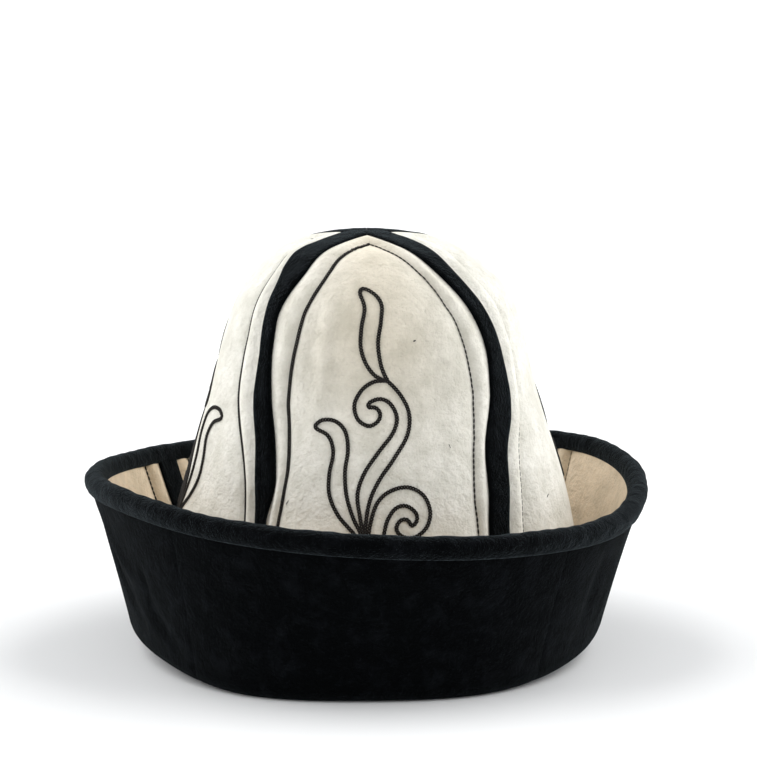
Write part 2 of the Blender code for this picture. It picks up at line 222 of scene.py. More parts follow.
@dataclass
class HatSurface:
    """The felt's outer face, and the layers that lie on and behind it."""

    head_half_width: float = 0.0962
    head_half_depth: float = 0.0914
    crown_height: float = 0.1845
    brim_height: float = 0.0656
    brim_flare: float = 0.0172
    felt: float = 0.003
    velvet: float = 0.0015
    gap: float = 0.0003
    fold_radius: float = 0.003
    rest_sink: float = 0.0005
    run_in: float = -80.0
    run_out: float = 74.0
    brim_bow: float = 0.12
    settled_rows: float = 3.0
    dents_from: float = 1.0
    fold: int = len(CROWN_ROWS)
    step: float = 1e-3
    crown_knots: np.ndarray = field(init=False)
    seam_knots: np.ndarray = field(init=False)
    brim_knots: np.ndarray = field(init=False)

    def __post_init__(self) -> None:
        """Turns the tables into the curves' knots, in metres and radians."""
        rows = np.array(CROWN_ROWS)
        width, depth = self.head_half_width, self.head_half_depth
        sizes = rows[:, :5] * np.array([self.crown_height, width, depth, depth, width])
        reach, drop = self.fold_turn(np.array(self.run_in))
        end = np.array([
            self.fold_centre - drop,
            width + self.fold_radius + reach,
            depth + self.fold_radius + reach,
            depth + self.fold_radius + reach,
            0.0,
        ])
        over_tip = sizes[1] * np.array([1.0, -1.0, -1.0, -1.0, 1.0])
        self.crown_knots = np.vstack([over_tip, sizes, end, 2 * end - sizes[-1]])
        crown = rows[:, [5, 6, 7, 7]]
        seams = [crown[0], *crown, FOLD_SEAMS, FOLD_SEAMS, RIM_SEAMS, RIM_SEAMS]
        self.seam_knots = np.radians(np.array(seams))
        brim = np.array(BRIM_ROWS)
        self.brim_knots = np.vstack([brim[-1], brim, brim[:2]])

    @property
    def brim_wall(self) -> float:
        """Thickness of the brim: felt, gap and velvet."""
        return self.felt + self.gap + self.velvet

    @property
    def fold_centre(self) -> float:
        """Height of the fold's centre over the table."""
        return self.fold_radius + self.brim_wall - self.rest_sink

    @property
    def foot(self) -> int:
        """The station where the brim's wall begins."""
        return self.fold + 1

    @property
    def rim(self) -> int:
        """The station of the rim's edge."""
        return self.fold + 2

    def fold_turn(self, angle: np.ndarray) -> tuple[np.ndarray, np.ndarray]:
        """Reach outwards and drop below the fold's centre at a tangent angle in degrees."""
        turn = np.radians(angle)
        return self.fold_radius * np.sin(turn), self.fold_radius * np.cos(turn)

    def seams(self, station: np.ndarray) -> np.ndarray:
        """Azimuths of the four seams at each station, in the order of Seam.

        Args:
            station: Stations from the tip.

        Returns:
            A row of four azimuths for each station.
        """
        angles = np.moveaxis(spline(self.seam_knots, station), -1, 0)
        left, right, back_right, back_left = angles
        return np.stack([-left, right, math.pi - back_right, math.pi + back_left], axis=-1)

    def span(self, gore: Gore, station: np.ndarray) -> tuple[np.ndarray, np.ndarray]:
        """Azimuths of a gore's first and second seam at each station, the second the larger.

        Args:
            gore: The gore.
            station: Stations from the tip.

        Returns:
            Both azimuths for each station.
        """
        seams = self.seams(station)
        start = seams[:, gore.value]
        end = seams[:, (gore.value + 1) % 4]
        return start, np.where(end < start, end + math.tau, end)

    def smooth_point(self, azimuth: np.ndarray, station: np.ndarray) -> np.ndarray:
        """Points of the felt's outer face before the cloth's soft shape is added.

        Args:
            azimuth: Angles round the hat, in radians.
            station: Stations from the tip, one for each azimuth.

        Returns:
            Points, one row of x, y and z each.
        """
        azimuth, station = np.broadcast_arrays(azimuth, station)
        crown = spline(self.crown_knots, np.clip(station, 0, self.fold))
        turned = np.clip(station - self.fold, 0, 1)
        climbed = np.clip(station - self.foot, 0, 1)
        reach, drop = self.fold_turn(self.run_in + turned * (self.run_out - self.run_in))
        bow = 1 - self.brim_bow + self.brim_bow * climbed
        reach = reach + self.brim_flare * climbed * bow
        place = (azimuth / math.tau) % 1.0 * len(BRIM_ROWS)
        rise, lift, sag, lean = np.moveaxis(spline(self.brim_knots, place), -1, 0)
        height = self.fold_centre - drop + climbed * self.brim_height * (1 + rise)
        on_crown = station <= self.fold
        height = np.where(on_crown, crown[..., 0], height)
        width = np.where(on_crown, crown[..., 1], self.head_half_width + self.fold_radius + reach)
        deep = self.head_half_depth + self.fold_radius + reach
        ahead = np.cos(azimuth)
        depth = np.where(on_crown, np.where(ahead > 0, crown[..., 2], crown[..., 3]), deep)
        shift = np.where(on_crown, crown[..., 4], 0.0)
        settled = ease((station - self.fold) / self.settled_rows + 1)
        folded = settled * np.clip(self.rim - station, 0, 1)
        spread = self.brim_height * (sag * folded + lean * (settled - folded))
        return np.stack([
            shift + (width + spread) * np.sin(azimuth),
            -(depth + spread) * ahead,
            height + self.brim_height * lift * folded,
        ], axis=-1)

    def slopes(self, azimuth: np.ndarray, station: np.ndarray) -> tuple[np.ndarray, np.ndarray]:
        """Change of the smooth point for each radian and for each station.

        Args:
            azimuth: Angles round the hat, in radians.
            station: Stations from the tip.

        Returns:
            The two changes for each point, round the hat and down it.
        """
        step = self.step
        round_hat = self.smooth_point(azimuth + step, station)
        round_hat = (round_hat - self.smooth_point(azimuth - step, station)) / (2 * step)
        low = np.maximum(station - step, 0.0)
        high = np.minimum(station + step, self.rim)
        down = self.smooth_point(azimuth, high) - self.smooth_point(azimuth, low)
        return round_hat, down / (high - low)[..., None]

    def normal(self, azimuth: np.ndarray, station: np.ndarray) -> np.ndarray:
        """Direction out of the felt's outer face, towards the gutter on the brim."""
        round_hat, down = self.slopes(azimuth, station)
        return unit(np.cross(down, round_hat))

    def soft_shape(self, azimuth: np.ndarray, station: np.ndarray) -> np.ndarray:
        """Depth of the cloth's dents and swells at each point, in metres.

        Args:
            azimuth: Angles round the hat, in radians.
            station: Stations from the tip.

        Returns:
            Depths, where a positive one is a dent.
        """
        depth = np.zeros(np.broadcast(azimuth, station).shape)
        for centre, row, reach, rows, deep in DENTS:
            turn = np.degrees(around(azimuth - math.radians(centre)))
            depth += deep * bump(turn, reach) * bump(station - row, rows)
        return depth * ease((station - self.dents_from) / 2) * ease((self.fold - station) / 1.5)

    def layer(self, azimuth: np.ndarray, station: np.ndarray, depth: np.ndarray) -> np.ndarray:
        """Points behind the felt's outer face, soft shape included, at or above the table.

        Args:
            azimuth: Angles round the hat, in radians.
            station: Stations from the tip.
            depth: Depth behind the face; a negative one stands proud of it.

        Returns:
            Points, one row of x, y and z each.
        """
        azimuth, station, depth = np.broadcast_arrays(azimuth, station, depth)
        depth = depth + self.soft_shape(azimuth, station)
        point = self.smooth_point(azimuth, station)
        point = point - self.normal(azimuth, station) * depth[..., None]
        point[..., 2] = np.maximum(point[..., 2], 0.0)
        return point


@dataclass
class SeamLine:
    """One seam's line on the smooth felt, read by its length from the tip."""

    surface: HatSurface
    seam: Seam
    samples: int = 1200
    reach: float = 0.0004
    first_station: float = 0.02
    stations: np.ndarray = field(init=False)
    azimuths: np.ndarray = field(init=False)
    points: np.ndarray = field(init=False)
    lengths: np.ndarray = field(init=False)

    def __post_init__(self) -> None:
        """Samples the line."""
        self.stations = np.linspace(0.0, self.surface.rim, self.samples)
        self.azimuths = self.surface.seams(self.stations)[:, self.seam.value]
        self.points = self.surface.smooth_point(self.azimuths, self.stations)
        self.lengths = running_length(self.points)

    def station_at(self, length: np.ndarray) -> np.ndarray:
        """Stations at lengths from the tip."""
        return np.interp(length, self.lengths, self.stations)

    def length_at(self, station: float) -> float:
        """Length from the tip at a station."""
        return float(np.interp(station, self.stations, self.lengths))

    def distance(self, points: np.ndarray) -> np.ndarray:
        """Shortest distance from each point to the line."""
        line = self.points[::3]
        return np.min(np.linalg.norm(points[:, None, :] - line[None], axis=2), axis=1)

    def beside(self, length: np.ndarray, across: np.ndarray) -> tuple[np.ndarray, np.ndarray]:
        """Points at a distance across from the line, in the cloth's plane, and their normals.

        Args:
            length: Lengths from the tip.
            across: Distances to the line's side, positive towards smaller azimuths.

        Returns:
            The points and the directions out of the felt there.
        """
        station = np.maximum(self.station_at(length), self.first_station)
        azimuth = np.interp(station, self.stations, self.azimuths)
        centre = between_rows(length, self.lengths, self.points)
        ahead = between_rows(length + self.reach, self.lengths, self.points)
        behind = between_rows(length - self.reach, self.lengths, self.points)
        normal = self.surface.normal(azimuth, station)
        side = unit(np.cross(ahead - behind, normal))
        return centre + side * across[..., None], normal


def linear(hex_colour: str) -> tuple[float, float, float, float]:
    """Turns an sRGB hex colour into linear values.

    Args:
        hex_colour: The colour as six hex digits.

    Returns:
        Red, green, blue and an alpha of 1.
    """
    values = [int(hex_colour[place : place + 2], 16) / 255 for place in (0, 2, 4)]
    red, green, blue = (v / 12.92 if v <= 0.04045 else ((v + 0.055) / 1.055) ** 2.4 for v in values)
    return red, green, blue, 1.0


def add_node(material: bpy.types.Material, kind: str, **settings: object) -> bpy.types.Node:
    """Adds a node to a material, with its settings and links.

    Args:
        material: The material.
        kind: The node's type, without the ShaderNode prefix.
        settings: As in set_node.

    Returns:
        The node.
    """
    node = material.node_tree.nodes.new("ShaderNode" + kind)
    set_node(node, **settings)
    return node


def set_node(node: bpy.types.Node, **settings: object) -> None:
    """Sets a node's attributes and inputs.

    Args:
        node: The node.
        settings: Attributes of the node, or inputs by name with spaces as underscores, or by
            number as Input_N. An input given an output socket is linked to it.
    """
    for name, value in settings.items():
        socket = node.inputs.get(name.replace("_", " ")) if name[0].isupper() else None
        if name.startswith("Input_"):
            socket = node.inputs[int(name.removeprefix("Input_"))]
        if socket is None:
            setattr(node, name, value)
        elif isinstance(value, bpy.types.NodeSocket):
            node.id_data.links.new(value, socket)
        else:
            socket.default_value = value


def new_material(name: str) -> tuple[bpy.types.Material, bpy.types.Node]:
    """A material with nothing in its tree but the Principled shader and the output.

    Args:
        name: The material's name.

    Returns:
        The material and its shader.
    """
    material = bpy.data.materials.new(name)
    material.use_nodes = True
    return material, material.node_tree.nodes["Principled BSDF"]


def scale_for(size: float) -> float:
    """Noise scale whose features are about a size in metres on Object coordinates."""
    return 1.0 / size


@dataclass(frozen=True)
class FeltFinish:
    """Pressed white wool felt: a matt, slightly hairy face whose fibres lie every way, with
    faint cloudy patches where the wool is thicker."""

    name: str = "pressed_wool_felt"
    light: str = "F0EEE5"
    dark: str = "DBD9CE"
    fibre: str = "C2BCAC"
    # Painted warm shade, multiplied into the felt inside the brim
    painted_warm_shade: str = "F6E2CC"
    # Painted shade, multiplied into the front gore's middle and top
    painted_front_shade: str = "F3ECE1"
    nap: str = "FFFAF0"
    cloud_size: float = 0.012
    lump_size: float = 0.0042
    fibre_size: float = 0.0013
    grain_size: float = 0.0005
    roughness: float = 0.93

    def make(self) -> bpy.types.Material:
        """Builds the material.

        Returns:
            The material.
        """
        material, shader = new_material(self.name)
        place = add_node(material, "TexCoord").outputs["Object"]
        cloud = add_node(
            material, "TexNoise", Vector=place, Scale=scale_for(self.cloud_size), Detail=6.0,
            Roughness=0.62,
        )
        patches = add_node(
            material, "MapRange", Value=cloud.outputs["Fac"],
            Input_1=0.36, Input_2=0.62, Input_3=0.0, Input_4=1.0,
        )
        tone = add_node(
            material, "Mix", data_type="RGBA", Factor=patches.outputs["Result"],
            Input_6=linear(self.dark), Input_7=linear(self.light),
        )
        # Painted warm shade: inside the brim, where its attribute is 1, the felt is multiplied darker
        # and warmer to stand in for the shade and warm bounce light there
        inside = add_node(material, "Attribute", attribute_name=BRIM_SHADE_ATTRIBUTE)
        painted_warm_shade = add_node(
            material, "Mix", data_type="RGBA", blend_type="MULTIPLY",
            Factor=inside.outputs["Fac"], Input_6=tone.outputs[2], Input_7=linear(self.painted_warm_shade),
        )
        # Painted shade: the front gore is multiplied darker and warmer from its middle towards the
        # tip, where its attribute rises
        front = add_node(material, "Attribute", attribute_name=FRONT_SHADE_ATTRIBUTE)
        front_shaded = add_node(
            material, "Mix", data_type="RGBA", blend_type="MULTIPLY",
            Factor=front.outputs["Fac"], Input_6=painted_warm_shade.outputs[2], Input_7=linear(self.painted_front_shade),
        )
        # Wool fibres are some 0.03 mm thick; bundles of them are drawn 1 mm long to show
        fibres = add_node(
            material, "TexNoise", Vector=place, Scale=scale_for(self.fibre_size),
            Detail=5.0, Roughness=0.7, Distortion=0.4,
        )
        threads = add_node(
            material, "MapRange", Value=fibres.outputs["Fac"],
            Input_1=0.50, Input_2=0.72, Input_3=0.0, Input_4=0.38,
        )
        strands = add_node(
            material, "Mix", data_type="RGBA", Factor=threads.outputs["Result"],
            Input_6=front_shaded.outputs[2], Input_7=linear(self.fibre),
        )
        grain = add_node(
            material, "TexNoise", Vector=place, Scale=scale_for(self.grain_size), Detail=2.0
        )
        lump = add_node(
            material, "TexNoise", Vector=place, Scale=scale_for(self.lump_size),
            Detail=3.0, Roughness=0.6,
        )
        lumps = add_node(
            material, "Bump", Height=lump.outputs["Fac"], Strength=0.7, Distance=0.0018
        )
        coarse = add_node(
            material, "Bump", Height=fibres.outputs["Fac"], Strength=0.8, Distance=0.0007,
            Normal=lumps.outputs["Normal"],
        )
        fine = add_node(
            material, "Bump", Height=grain.outputs["Fac"], Strength=0.3, Distance=0.0002,
            Normal=coarse.outputs["Normal"],
        )
        set_node(
            shader, Base_Color=strands.outputs[2], Normal=fine.outputs["Normal"],
            Roughness=self.roughness, IOR=1.5, Specular_IOR_Level=0.2, Sheen_Weight=0.25,
            Sheen_Roughness=0.6, Sheen_Tint=linear(self.nap),
        )
        return material


@dataclass(frozen=True)
class VelvetFinish:
    """Black cotton velvet: a short upright pile that drinks light face on and shows a cool
    sheen at its edges, with cloudy marks where the pile was brushed or pressed."""

    name: str = "black_cotton_velvet"
    deep: str = "040506"
    brushed: str = "101215"
    lint: str = "363B40"
    sheen_colour: str = "AFC0C8"
    mark_size: float = 0.009
    pile_size: float = 0.0012
    roughness: float = 0.85
    sheen: float = 0.07

    def make(self) -> bpy.types.Material:
        """Builds the material.

        Returns:
            The material.
        """
        material, shader = new_material(self.name)
        place = add_node(material, "TexCoord").outputs["Object"]
        marks = add_node(
            material, "TexNoise", Vector=place, Scale=scale_for(self.mark_size),
            Detail=8.0, Roughness=0.72, Distortion=0.3,
        )
        brushed = add_node(
            material, "MapRange", Value=marks.outputs["Fac"],
            Input_1=0.49, Input_2=0.70, Input_3=0.0, Input_4=0.9,
        )
        tone = add_node(
            material, "Mix", data_type="RGBA", Factor=brushed.outputs["Result"],
            Input_6=linear(self.deep), Input_7=linear(self.brushed),
        )
        # The pile is some 0.1 mm across; tufts of it are drawn near 1 mm to show
        pile = add_node(
            material, "TexNoise", Vector=place, Scale=scale_for(self.pile_size),
            Detail=3.0, Roughness=0.7,
        )
        specks = add_node(
            material, "MapRange", Value=pile.outputs["Fac"],
            Input_1=0.60, Input_2=0.84, Input_3=0.0, Input_4=0.30,
        )
        linted = add_node(
            material, "Mix", data_type="RGBA", Factor=specks.outputs["Result"],
            Input_6=tone.outputs[2], Input_7=linear(self.lint),
        )
        pressed = add_node(
            material, "Bump", Height=marks.outputs["Fac"], Strength=0.8, Distance=0.0030
        )
        tufts = add_node(
            material, "Bump", Height=pile.outputs["Fac"], Strength=0.8, Distance=0.0006,
            Normal=pressed.outputs["Normal"],
        )
        set_node(
            shader, Base_Color=linted.outputs[2], Normal=tufts.outputs["Normal"],
            Roughness=self.roughness, IOR=1.5, Specular_IOR_Level=0.02, Sheen_Weight=self.sheen,
            Sheen_Roughness=0.30, Sheen_Tint=linear(self.sheen_colour),
        )
        return material


@dataclass(frozen=True)
class ThreadFinish:
    """Twisted black cotton thread: matt, with a slight brown cast where light catches it."""

    name: str = "black_cotton_thread"
    colour: str = "12100E"
    worn: str = "231F1B"
    ply_size: float = 0.0008
    roughness: float = 0.75

    def make(self) -> bpy.types.Material:
        """Builds the material.

        Returns:
            The material.
        """
        material, shader = new_material(self.name)
        place = add_node(material, "TexCoord").outputs["Object"]
        plies = add_node(
            material, "TexNoise", Vector=place, Scale=scale_for(self.ply_size), Detail=2.0
        )
        tone = add_node(
            material, "Mix", data_type="RGBA", Factor=plies.outputs["Fac"],
            Input_6=linear(self.colour), Input_7=linear(self.worn),
        )
        twist = add_node(
            material, "Bump", Height=plies.outputs["Fac"], Strength=0.4, Distance=0.0002
        )
        set_node(
            shader, Base_Color=tone.outputs[2], Normal=twist.outputs["Normal"],
            Roughness=self.roughness, Specular_IOR_Level=0.3,
        )
        return material


class Slot(Enum):
    """Names of the material slots."""

    FELT = "felt"
    VELVET = "velvet"
    TRIM = "velvet_trim"


def finish_piece(
    mesh: bpy.types.Mesh,
    material: bpy.types.Material,
    nodes: tuple[str, ...] = (),
) -> bpy.types.Object:
    """Links a mesh as a piece of the hat.

    Args:
        mesh: The finished mesh, in place.
        material: Its material.
        nodes: The CAD nodes it replaces.

    Returns:
        The piece.
    """
    mesh.shade_smooth()
    mesh.set_sharp_from_angle(angle=math.radians(SHARP_ANGLE))
    mesh.materials.append(material)
    piece = bpy.data.objects.new(mesh.name, mesh)
    bpy.context.scene.collection.objects.link(piece)
    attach(piece, BODY)
    if nodes:
        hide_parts(*nodes)
    log.info("%s: %d faces", piece.name, len(mesh.polygons))
    return piece


def read_points(mesh: bpy.types.Mesh) -> np.ndarray:
    """A mesh's points, one row of x, y and z each.

    Args:
        mesh: The mesh.

    Returns:
        The points.
    """
    points = np.empty(len(mesh.vertices) * 3)
    mesh.vertices.foreach_get("co", points)
    return points.reshape(-1, 3)


def move_points(mesh: bpy.types.Mesh, points: np.ndarray) -> None:
    """Moves a mesh's points to new places."""
    mesh.vertices.foreach_set("co", points.ravel())
    mesh.update()


def sheet_mesh(name: str, columns: int, rows: int, place: Placer) -> bpy.types.Mesh:
    """A closed sheet of cloth, made as a flat slab two faces deep and then shaped.

    Args:
        name: The mesh's name.
        columns: Vertices across.
        rows: Vertices along.
        place: Gives the points; a face is 0 or 1, and columns, rows and faces run in
            right-handed order.

    Returns:
        The mesh.
    """
    slab = bmesh.new()
    bmesh.ops.create_grid(slab, x_segments=columns - 1, y_segments=rows - 1, size=0.5)
    made = bmesh.ops.extrude_face_region(slab, geom=slab.faces[:], use_keep_orig=True)
    raised = [item for item in made["geom"] if isinstance(item, bmesh.types.BMVert)]
    bmesh.ops.translate(slab, verts=raised, vec=(0.0, 0.0, 1.0))
    bmesh.ops.recalc_face_normals(slab, faces=slab.faces[:])
    mesh = bpy.data.meshes.new(name)
    slab.to_mesh(mesh)
    slab.free()
    flat = read_points(mesh)
    column = np.rint((flat[:, 0] + 0.5) * (columns - 1)).astype(int)
    row = np.rint((flat[:, 1] + 0.5) * (rows - 1)).astype(int)
    move_points(mesh, place(column, row, np.rint(flat[:, 2]).astype(int)))
    return mesh


@dataclass
class Stitcher:
    """Lays threads on the felt: each stitch is a small rounded grain pressed into it."""

    cover: BVHTree
    material: bpy.types.Material

    def settle(self, point: np.ndarray, normal: np.ndarray, reach: float = 0.006) -> Vector:
        """The point of the finished cloth under a point of the smooth surface.

        Args:
            point: The point on the smooth surface.
            normal: Direction out of the felt there.
            reach: How far to look, out of the felt and into it.

        Returns:
            The point on the cloth, or the given one where there is no cloth.
        """
        out = Vector(normal)
        start = Vector(point) + out * reach
        hit, _, _, _ = self.cover.ray_cast(start, -out, 2 * reach)
        return hit if hit is not None else Vector(point)

    def lay(
        self,
        name: str,
        stitches: list[tuple[Vector, Vector, Vector]],
        size: tuple[float, float, float] | np.ndarray,
        sink: float = 0.35,
    ) -> bpy.types.Object:
        """Builds one piece from many stitches.

        Args:
            name: The piece's name.
            stitches: Each stitch's point on the cloth, its direction and the cloth's normal.
            size: A stitch's length, width and height, or one such row for each stitch.
            sink: The share of a stitch's half height that lies in the felt.

        Returns:
            The piece.
        """
        count = len(stitches)
        ball = bmesh.new()
        bmesh.ops.create_uvsphere(ball, u_segments=6, v_segments=4, radius=1.0)
        mesh = bpy.data.meshes.new(name)
        ball.to_mesh(mesh)
        ball.free()
        thread = bmesh.new()
        thread.from_mesh(mesh)
        grain = (len(thread.verts), len(thread.edges), len(thread.faces))
        made = 1
        while made < count:
            more = min(made, count - made)
            parts = zip(grain, (thread.verts, thread.edges, thread.faces))
            copied = [item for size_of, kind in parts for item in list(kind)[: more * size_of]]
            bmesh.ops.duplicate(thread, geom=copied)
            made += more
        thread.to_mesh(mesh)
        thread.free()
        balls = read_points(mesh)
        # The ball's poles stand on the stitch's thin axis, so each stitch is smooth end to end
        points, alongs, normals = (np.array(part, dtype=float) for part in zip(*stitches))
        side = unit(np.cross(normals, alongs))
        ahead = np.cross(side, normals)
        half = np.broadcast_to(np.array(size) / 2, (count, 3))
        frames = np.stack([ahead, side, normals], axis=1) * half[:, :, None]
        seats = points + normals * half[:, 2:] * (1 - sink)
        balls = balls.reshape(count, grain[0], 3) @ frames + seats[:, None, :]
        move_points(mesh, balls)
        return finish_piece(mesh, self.material)


# How far the stitched line runs from the front seams, by height over the table, both in
# millimetres. It was sewn by hand and wanders. Elsewhere it keeps its even distance.
STITCH_OFFSETS = {
    (Gore.FRONT, False): (
        (64, 71, 77, 84, 91, 98, 111, 118, 125, 132, 139, 145, 152, 159, 174, 181),
        (5.6, 6.4, 7.5, 8.8, 10.4, 11.2, 11.8, 11.8, 12.6, 13.2, 14.0, 15.0, 16.0, 16.5,
         16.5, 15.0),
    ),
    (Gore.FRONT, True): (
        (64, 71, 77, 84, 91, 104, 111, 118, 125, 132, 139, 145, 152, 159, 165, 170, 181),
        (10.4, 11.0, 11.9, 12.0, 11.6, 11.3, 12.4, 14.0, 15.0, 15.3, 15.0, 14.6, 13.8, 13.2,
         11.6, 11.0, 12.5),
    ),
    (Gore.LEFT, True): (
        (64, 77, 84, 91, 98, 104, 111, 118, 125, 136, 145, 160),
        (10.6, 10.8, 11.0, 11.8, 12.9, 13.9, 14.9, 16.0, 16.2, 15.4, 14.2, 13.8),
    ),
}


@dataclass
class FeltGores:
    """The four felt gores, pillowed between their seams and quilted along a stitched line."""

    surface: HatSurface
    lines: list[SeamLine]
    rows: int = 190
    first_station: float = 0.06
    band_half: float = 0.006
    stitch_line: float = 0.0148
    least_strip: float = 0.004
    groove: float = 0.0011
    groove_width: float = 0.0019
    pillow: float = 0.0013
    middle_share: float = 0.8
    rise: float = 0.012
    column_margin: float = 0.004
    inside_lead: float = 0.5
    inside_rows: float = 1.2
    seam_dip: float = 0.0004
    tip_rows: float = 6.0
    # How far round the front gore's painted shade reaches, the station where it ends and how far it
    # fades
    front_shade_reach: float = 0.55
    front_shade_end: float = 8.0
    front_shade_fade: float = 3.6
    middle_columns: int = 46
    edge_columns: tuple[float, ...] = (
        0.0, 0.0025, 0.005, 0.0064, 0.0078, 0.0092, 0.0106, 0.0120, 0.0130, 0.0138, 0.0144,
        0.0148, 0.0152, 0.0158, 0.0166, 0.0178, 0.0194, 0.0215,
    )

    def stations(self) -> np.ndarray:
        """Rows from the tip to the rim, evenly spaced along the cloth.

        Returns:
            The rows' stations.
        """
        line = self.lines[0]
        lengths = np.linspace(line.length_at(self.first_station), line.lengths[-1], self.rows)
        return line.station_at(lengths)

    def columns(self, gore: Gore, stations: np.ndarray) -> np.ndarray:
        """Azimuths of a gore's columns at each station, closer beside its seams.

        Args:
            gore: The gore.
            stations: Stations of the rows.

        Returns:
            A row of azimuths for each station.
        """
        start, end = self.surface.span(gore, stations)
        middle = (start + end) / 2
        stretch = np.linalg.norm(self.surface.slopes(middle, stations)[0], axis=-1)
        height = self.surface.smooth_point(middle, stations)[:, 2]
        width = (end - start) * stretch
        spread = np.linspace(0.0, 1.0, self.middle_columns + 2)[1:-1]
        sides = []
        for second in (False, True):
            edge = np.array(self.edge_columns)[None, :]
            wanted = self.offset(gore, second, height)[:, None]
            base = self.strip_start(wanted)
            room = (wanted - base) / (self.stitch_line - self.band_half)
            covered = np.minimum(edge, self.band_half) * base / self.band_half
            edge = covered + np.maximum(edge - self.band_half, 0.0) * room
            edge = edge + self.surface.gap / 2
            fit = np.minimum(1.0, width / 2 / (edge[:, -1] + self.column_margin))
            sides.append(edge * (fit / stretch)[:, None])
        left = start[:, None] + sides[0]
        right = end[:, None] - sides[1][:, ::-1]
        between = left[:, -1:] + (right[:, :1] - left[:, -1:]) * spread[None, :]
        return np.hstack([left, between, right])

    def offset(self, gore: Gore, second: bool, height: np.ndarray) -> np.ndarray:
        """The stitch line's distance from a gore's first or second seam at a height.

        Args:
            gore: The gore.
            second: Whether the seam is the gore's second one.
            height: Heights over the table.

        Returns:
            Distances in metres.
        """
        table = STITCH_OFFSETS.get((gore, second))
        if table is not None:
            return np.interp(height * 1000, *table) / 1000
        return np.full(np.shape(height), self.stitch_line)

    def strip_start(self, wanted: np.ndarray) -> np.ndarray:
        """Where the padded strip beside a band starts, for a stitch line's distance."""
        return np.minimum(self.band_half, wanted - self.least_strip)

    def away(self, gore: Gore, points: np.ndarray) -> np.ndarray:
        """Distances from both seams, scaled so that the stitched line is at stitch_line.

        Args:
            gore: The gore.
            points: Points on the smooth felt.

        Returns:
            The distances from the gore's first seam and those from its second.
        """
        height = points[..., 2]
        outside = height < 0.0
        pair = []
        for second in (False, True):
            line = self.lines[(gore.value + int(second)) % 4]
            distance = line.distance(points)
            wanted = np.where(outside, self.stitch_line, self.offset(gore, second, height))
            base = self.strip_start(wanted)
            room = (self.stitch_line - self.band_half) / (wanted - base)
            covered = np.minimum(distance, base) * self.band_half / base
            scaled = covered + np.maximum(distance - base, 0.0) * room
            pair.append(np.where(distance > wanted, distance - wanted + self.stitch_line, scaled))
        return np.stack(pair)

    def relief(self, gore: Gore, points: np.ndarray) -> np.ndarray:
        """Height of the quilting over the smooth felt, from the distance to the seams.

        Args:
            gore: The gore.
            points: Points on the smooth felt.

        Returns:
            Heights in metres.
        """
        away = self.away(gore, points).min(axis=0)
        strip = np.clip((away - self.band_half) / (self.stitch_line - self.band_half), 0, 1)
        height = self.pillow * np.sin(math.pi * strip) ** 0.8
        past = np.clip((away - self.stitch_line) / self.rise, 0, 1)
        middle = self.pillow * self.middle_share * ease(past)
        height = np.where(away > self.stitch_line, middle, height)
        valley = np.abs(away - self.stitch_line)
        height -= self.groove * bump(valley, self.groove_width)
        return height - self.seam_dip * bump(away, self.band_half)

    def build(self, gore: Gore, material: bpy.types.Material) -> bpy.types.Object:
        """Builds one gore.

        Args:
            gore: The gore.
            material: Its felt.

        Returns:
            The gore's piece.
        """
        stations = self.stations()
        azimuths = self.columns(gore, stations)
        face = self.surface.smooth_point(azimuths, stations[:, None])
        relief = self.relief(gore, face.reshape(-1, 3)).reshape(azimuths.shape)
        relief = relief * ease(np.arange(self.rows) / self.tip_rows)[:, None]
        order: list[tuple[np.ndarray, np.ndarray]] = []

        def place(column: np.ndarray, row: np.ndarray, side: np.ndarray) -> np.ndarray:
            """Puts face 0 on the quilted outside and face 1 a felt's depth behind it."""
            order.append((row, column))
            depth = side * self.surface.felt - (1 - side) * relief[row, column]
            return self.surface.layer(azimuths[row, column], stations[row], depth)

        name = f"felt_gore_{gore.side}"
        mesh = sheet_mesh(name, azimuths.shape[1], self.rows, place)
        # Where the felt's painted warm shade inside the brim falls, easing in past the fold
        lead = stations - self.surface.fold + self.inside_lead
        inside = ease(lead / self.inside_rows)[:, None]
        # The front gore's painted shade, round its middle and fading out towards the fold
        fade = ease((self.front_shade_end - stations) / self.front_shade_fade)[:, None]
        painted_front_shade = bump(around(azimuths), self.front_shade_reach) * fade
        painted_shade_masks = ((BRIM_SHADE_ATTRIBUTE, inside + np.zeros(painted_front_shade.shape)), (FRONT_SHADE_ATTRIBUTE, painted_front_shade))
        for painted_shade_name, amount in painted_shade_masks:
            values = mesh.attributes.new(painted_shade_name, "FLOAT", "POINT")
            values.data.foreach_set("value", amount[order[0]])
        return finish_piece(mesh, material, (f"gore_{gore.side}",))


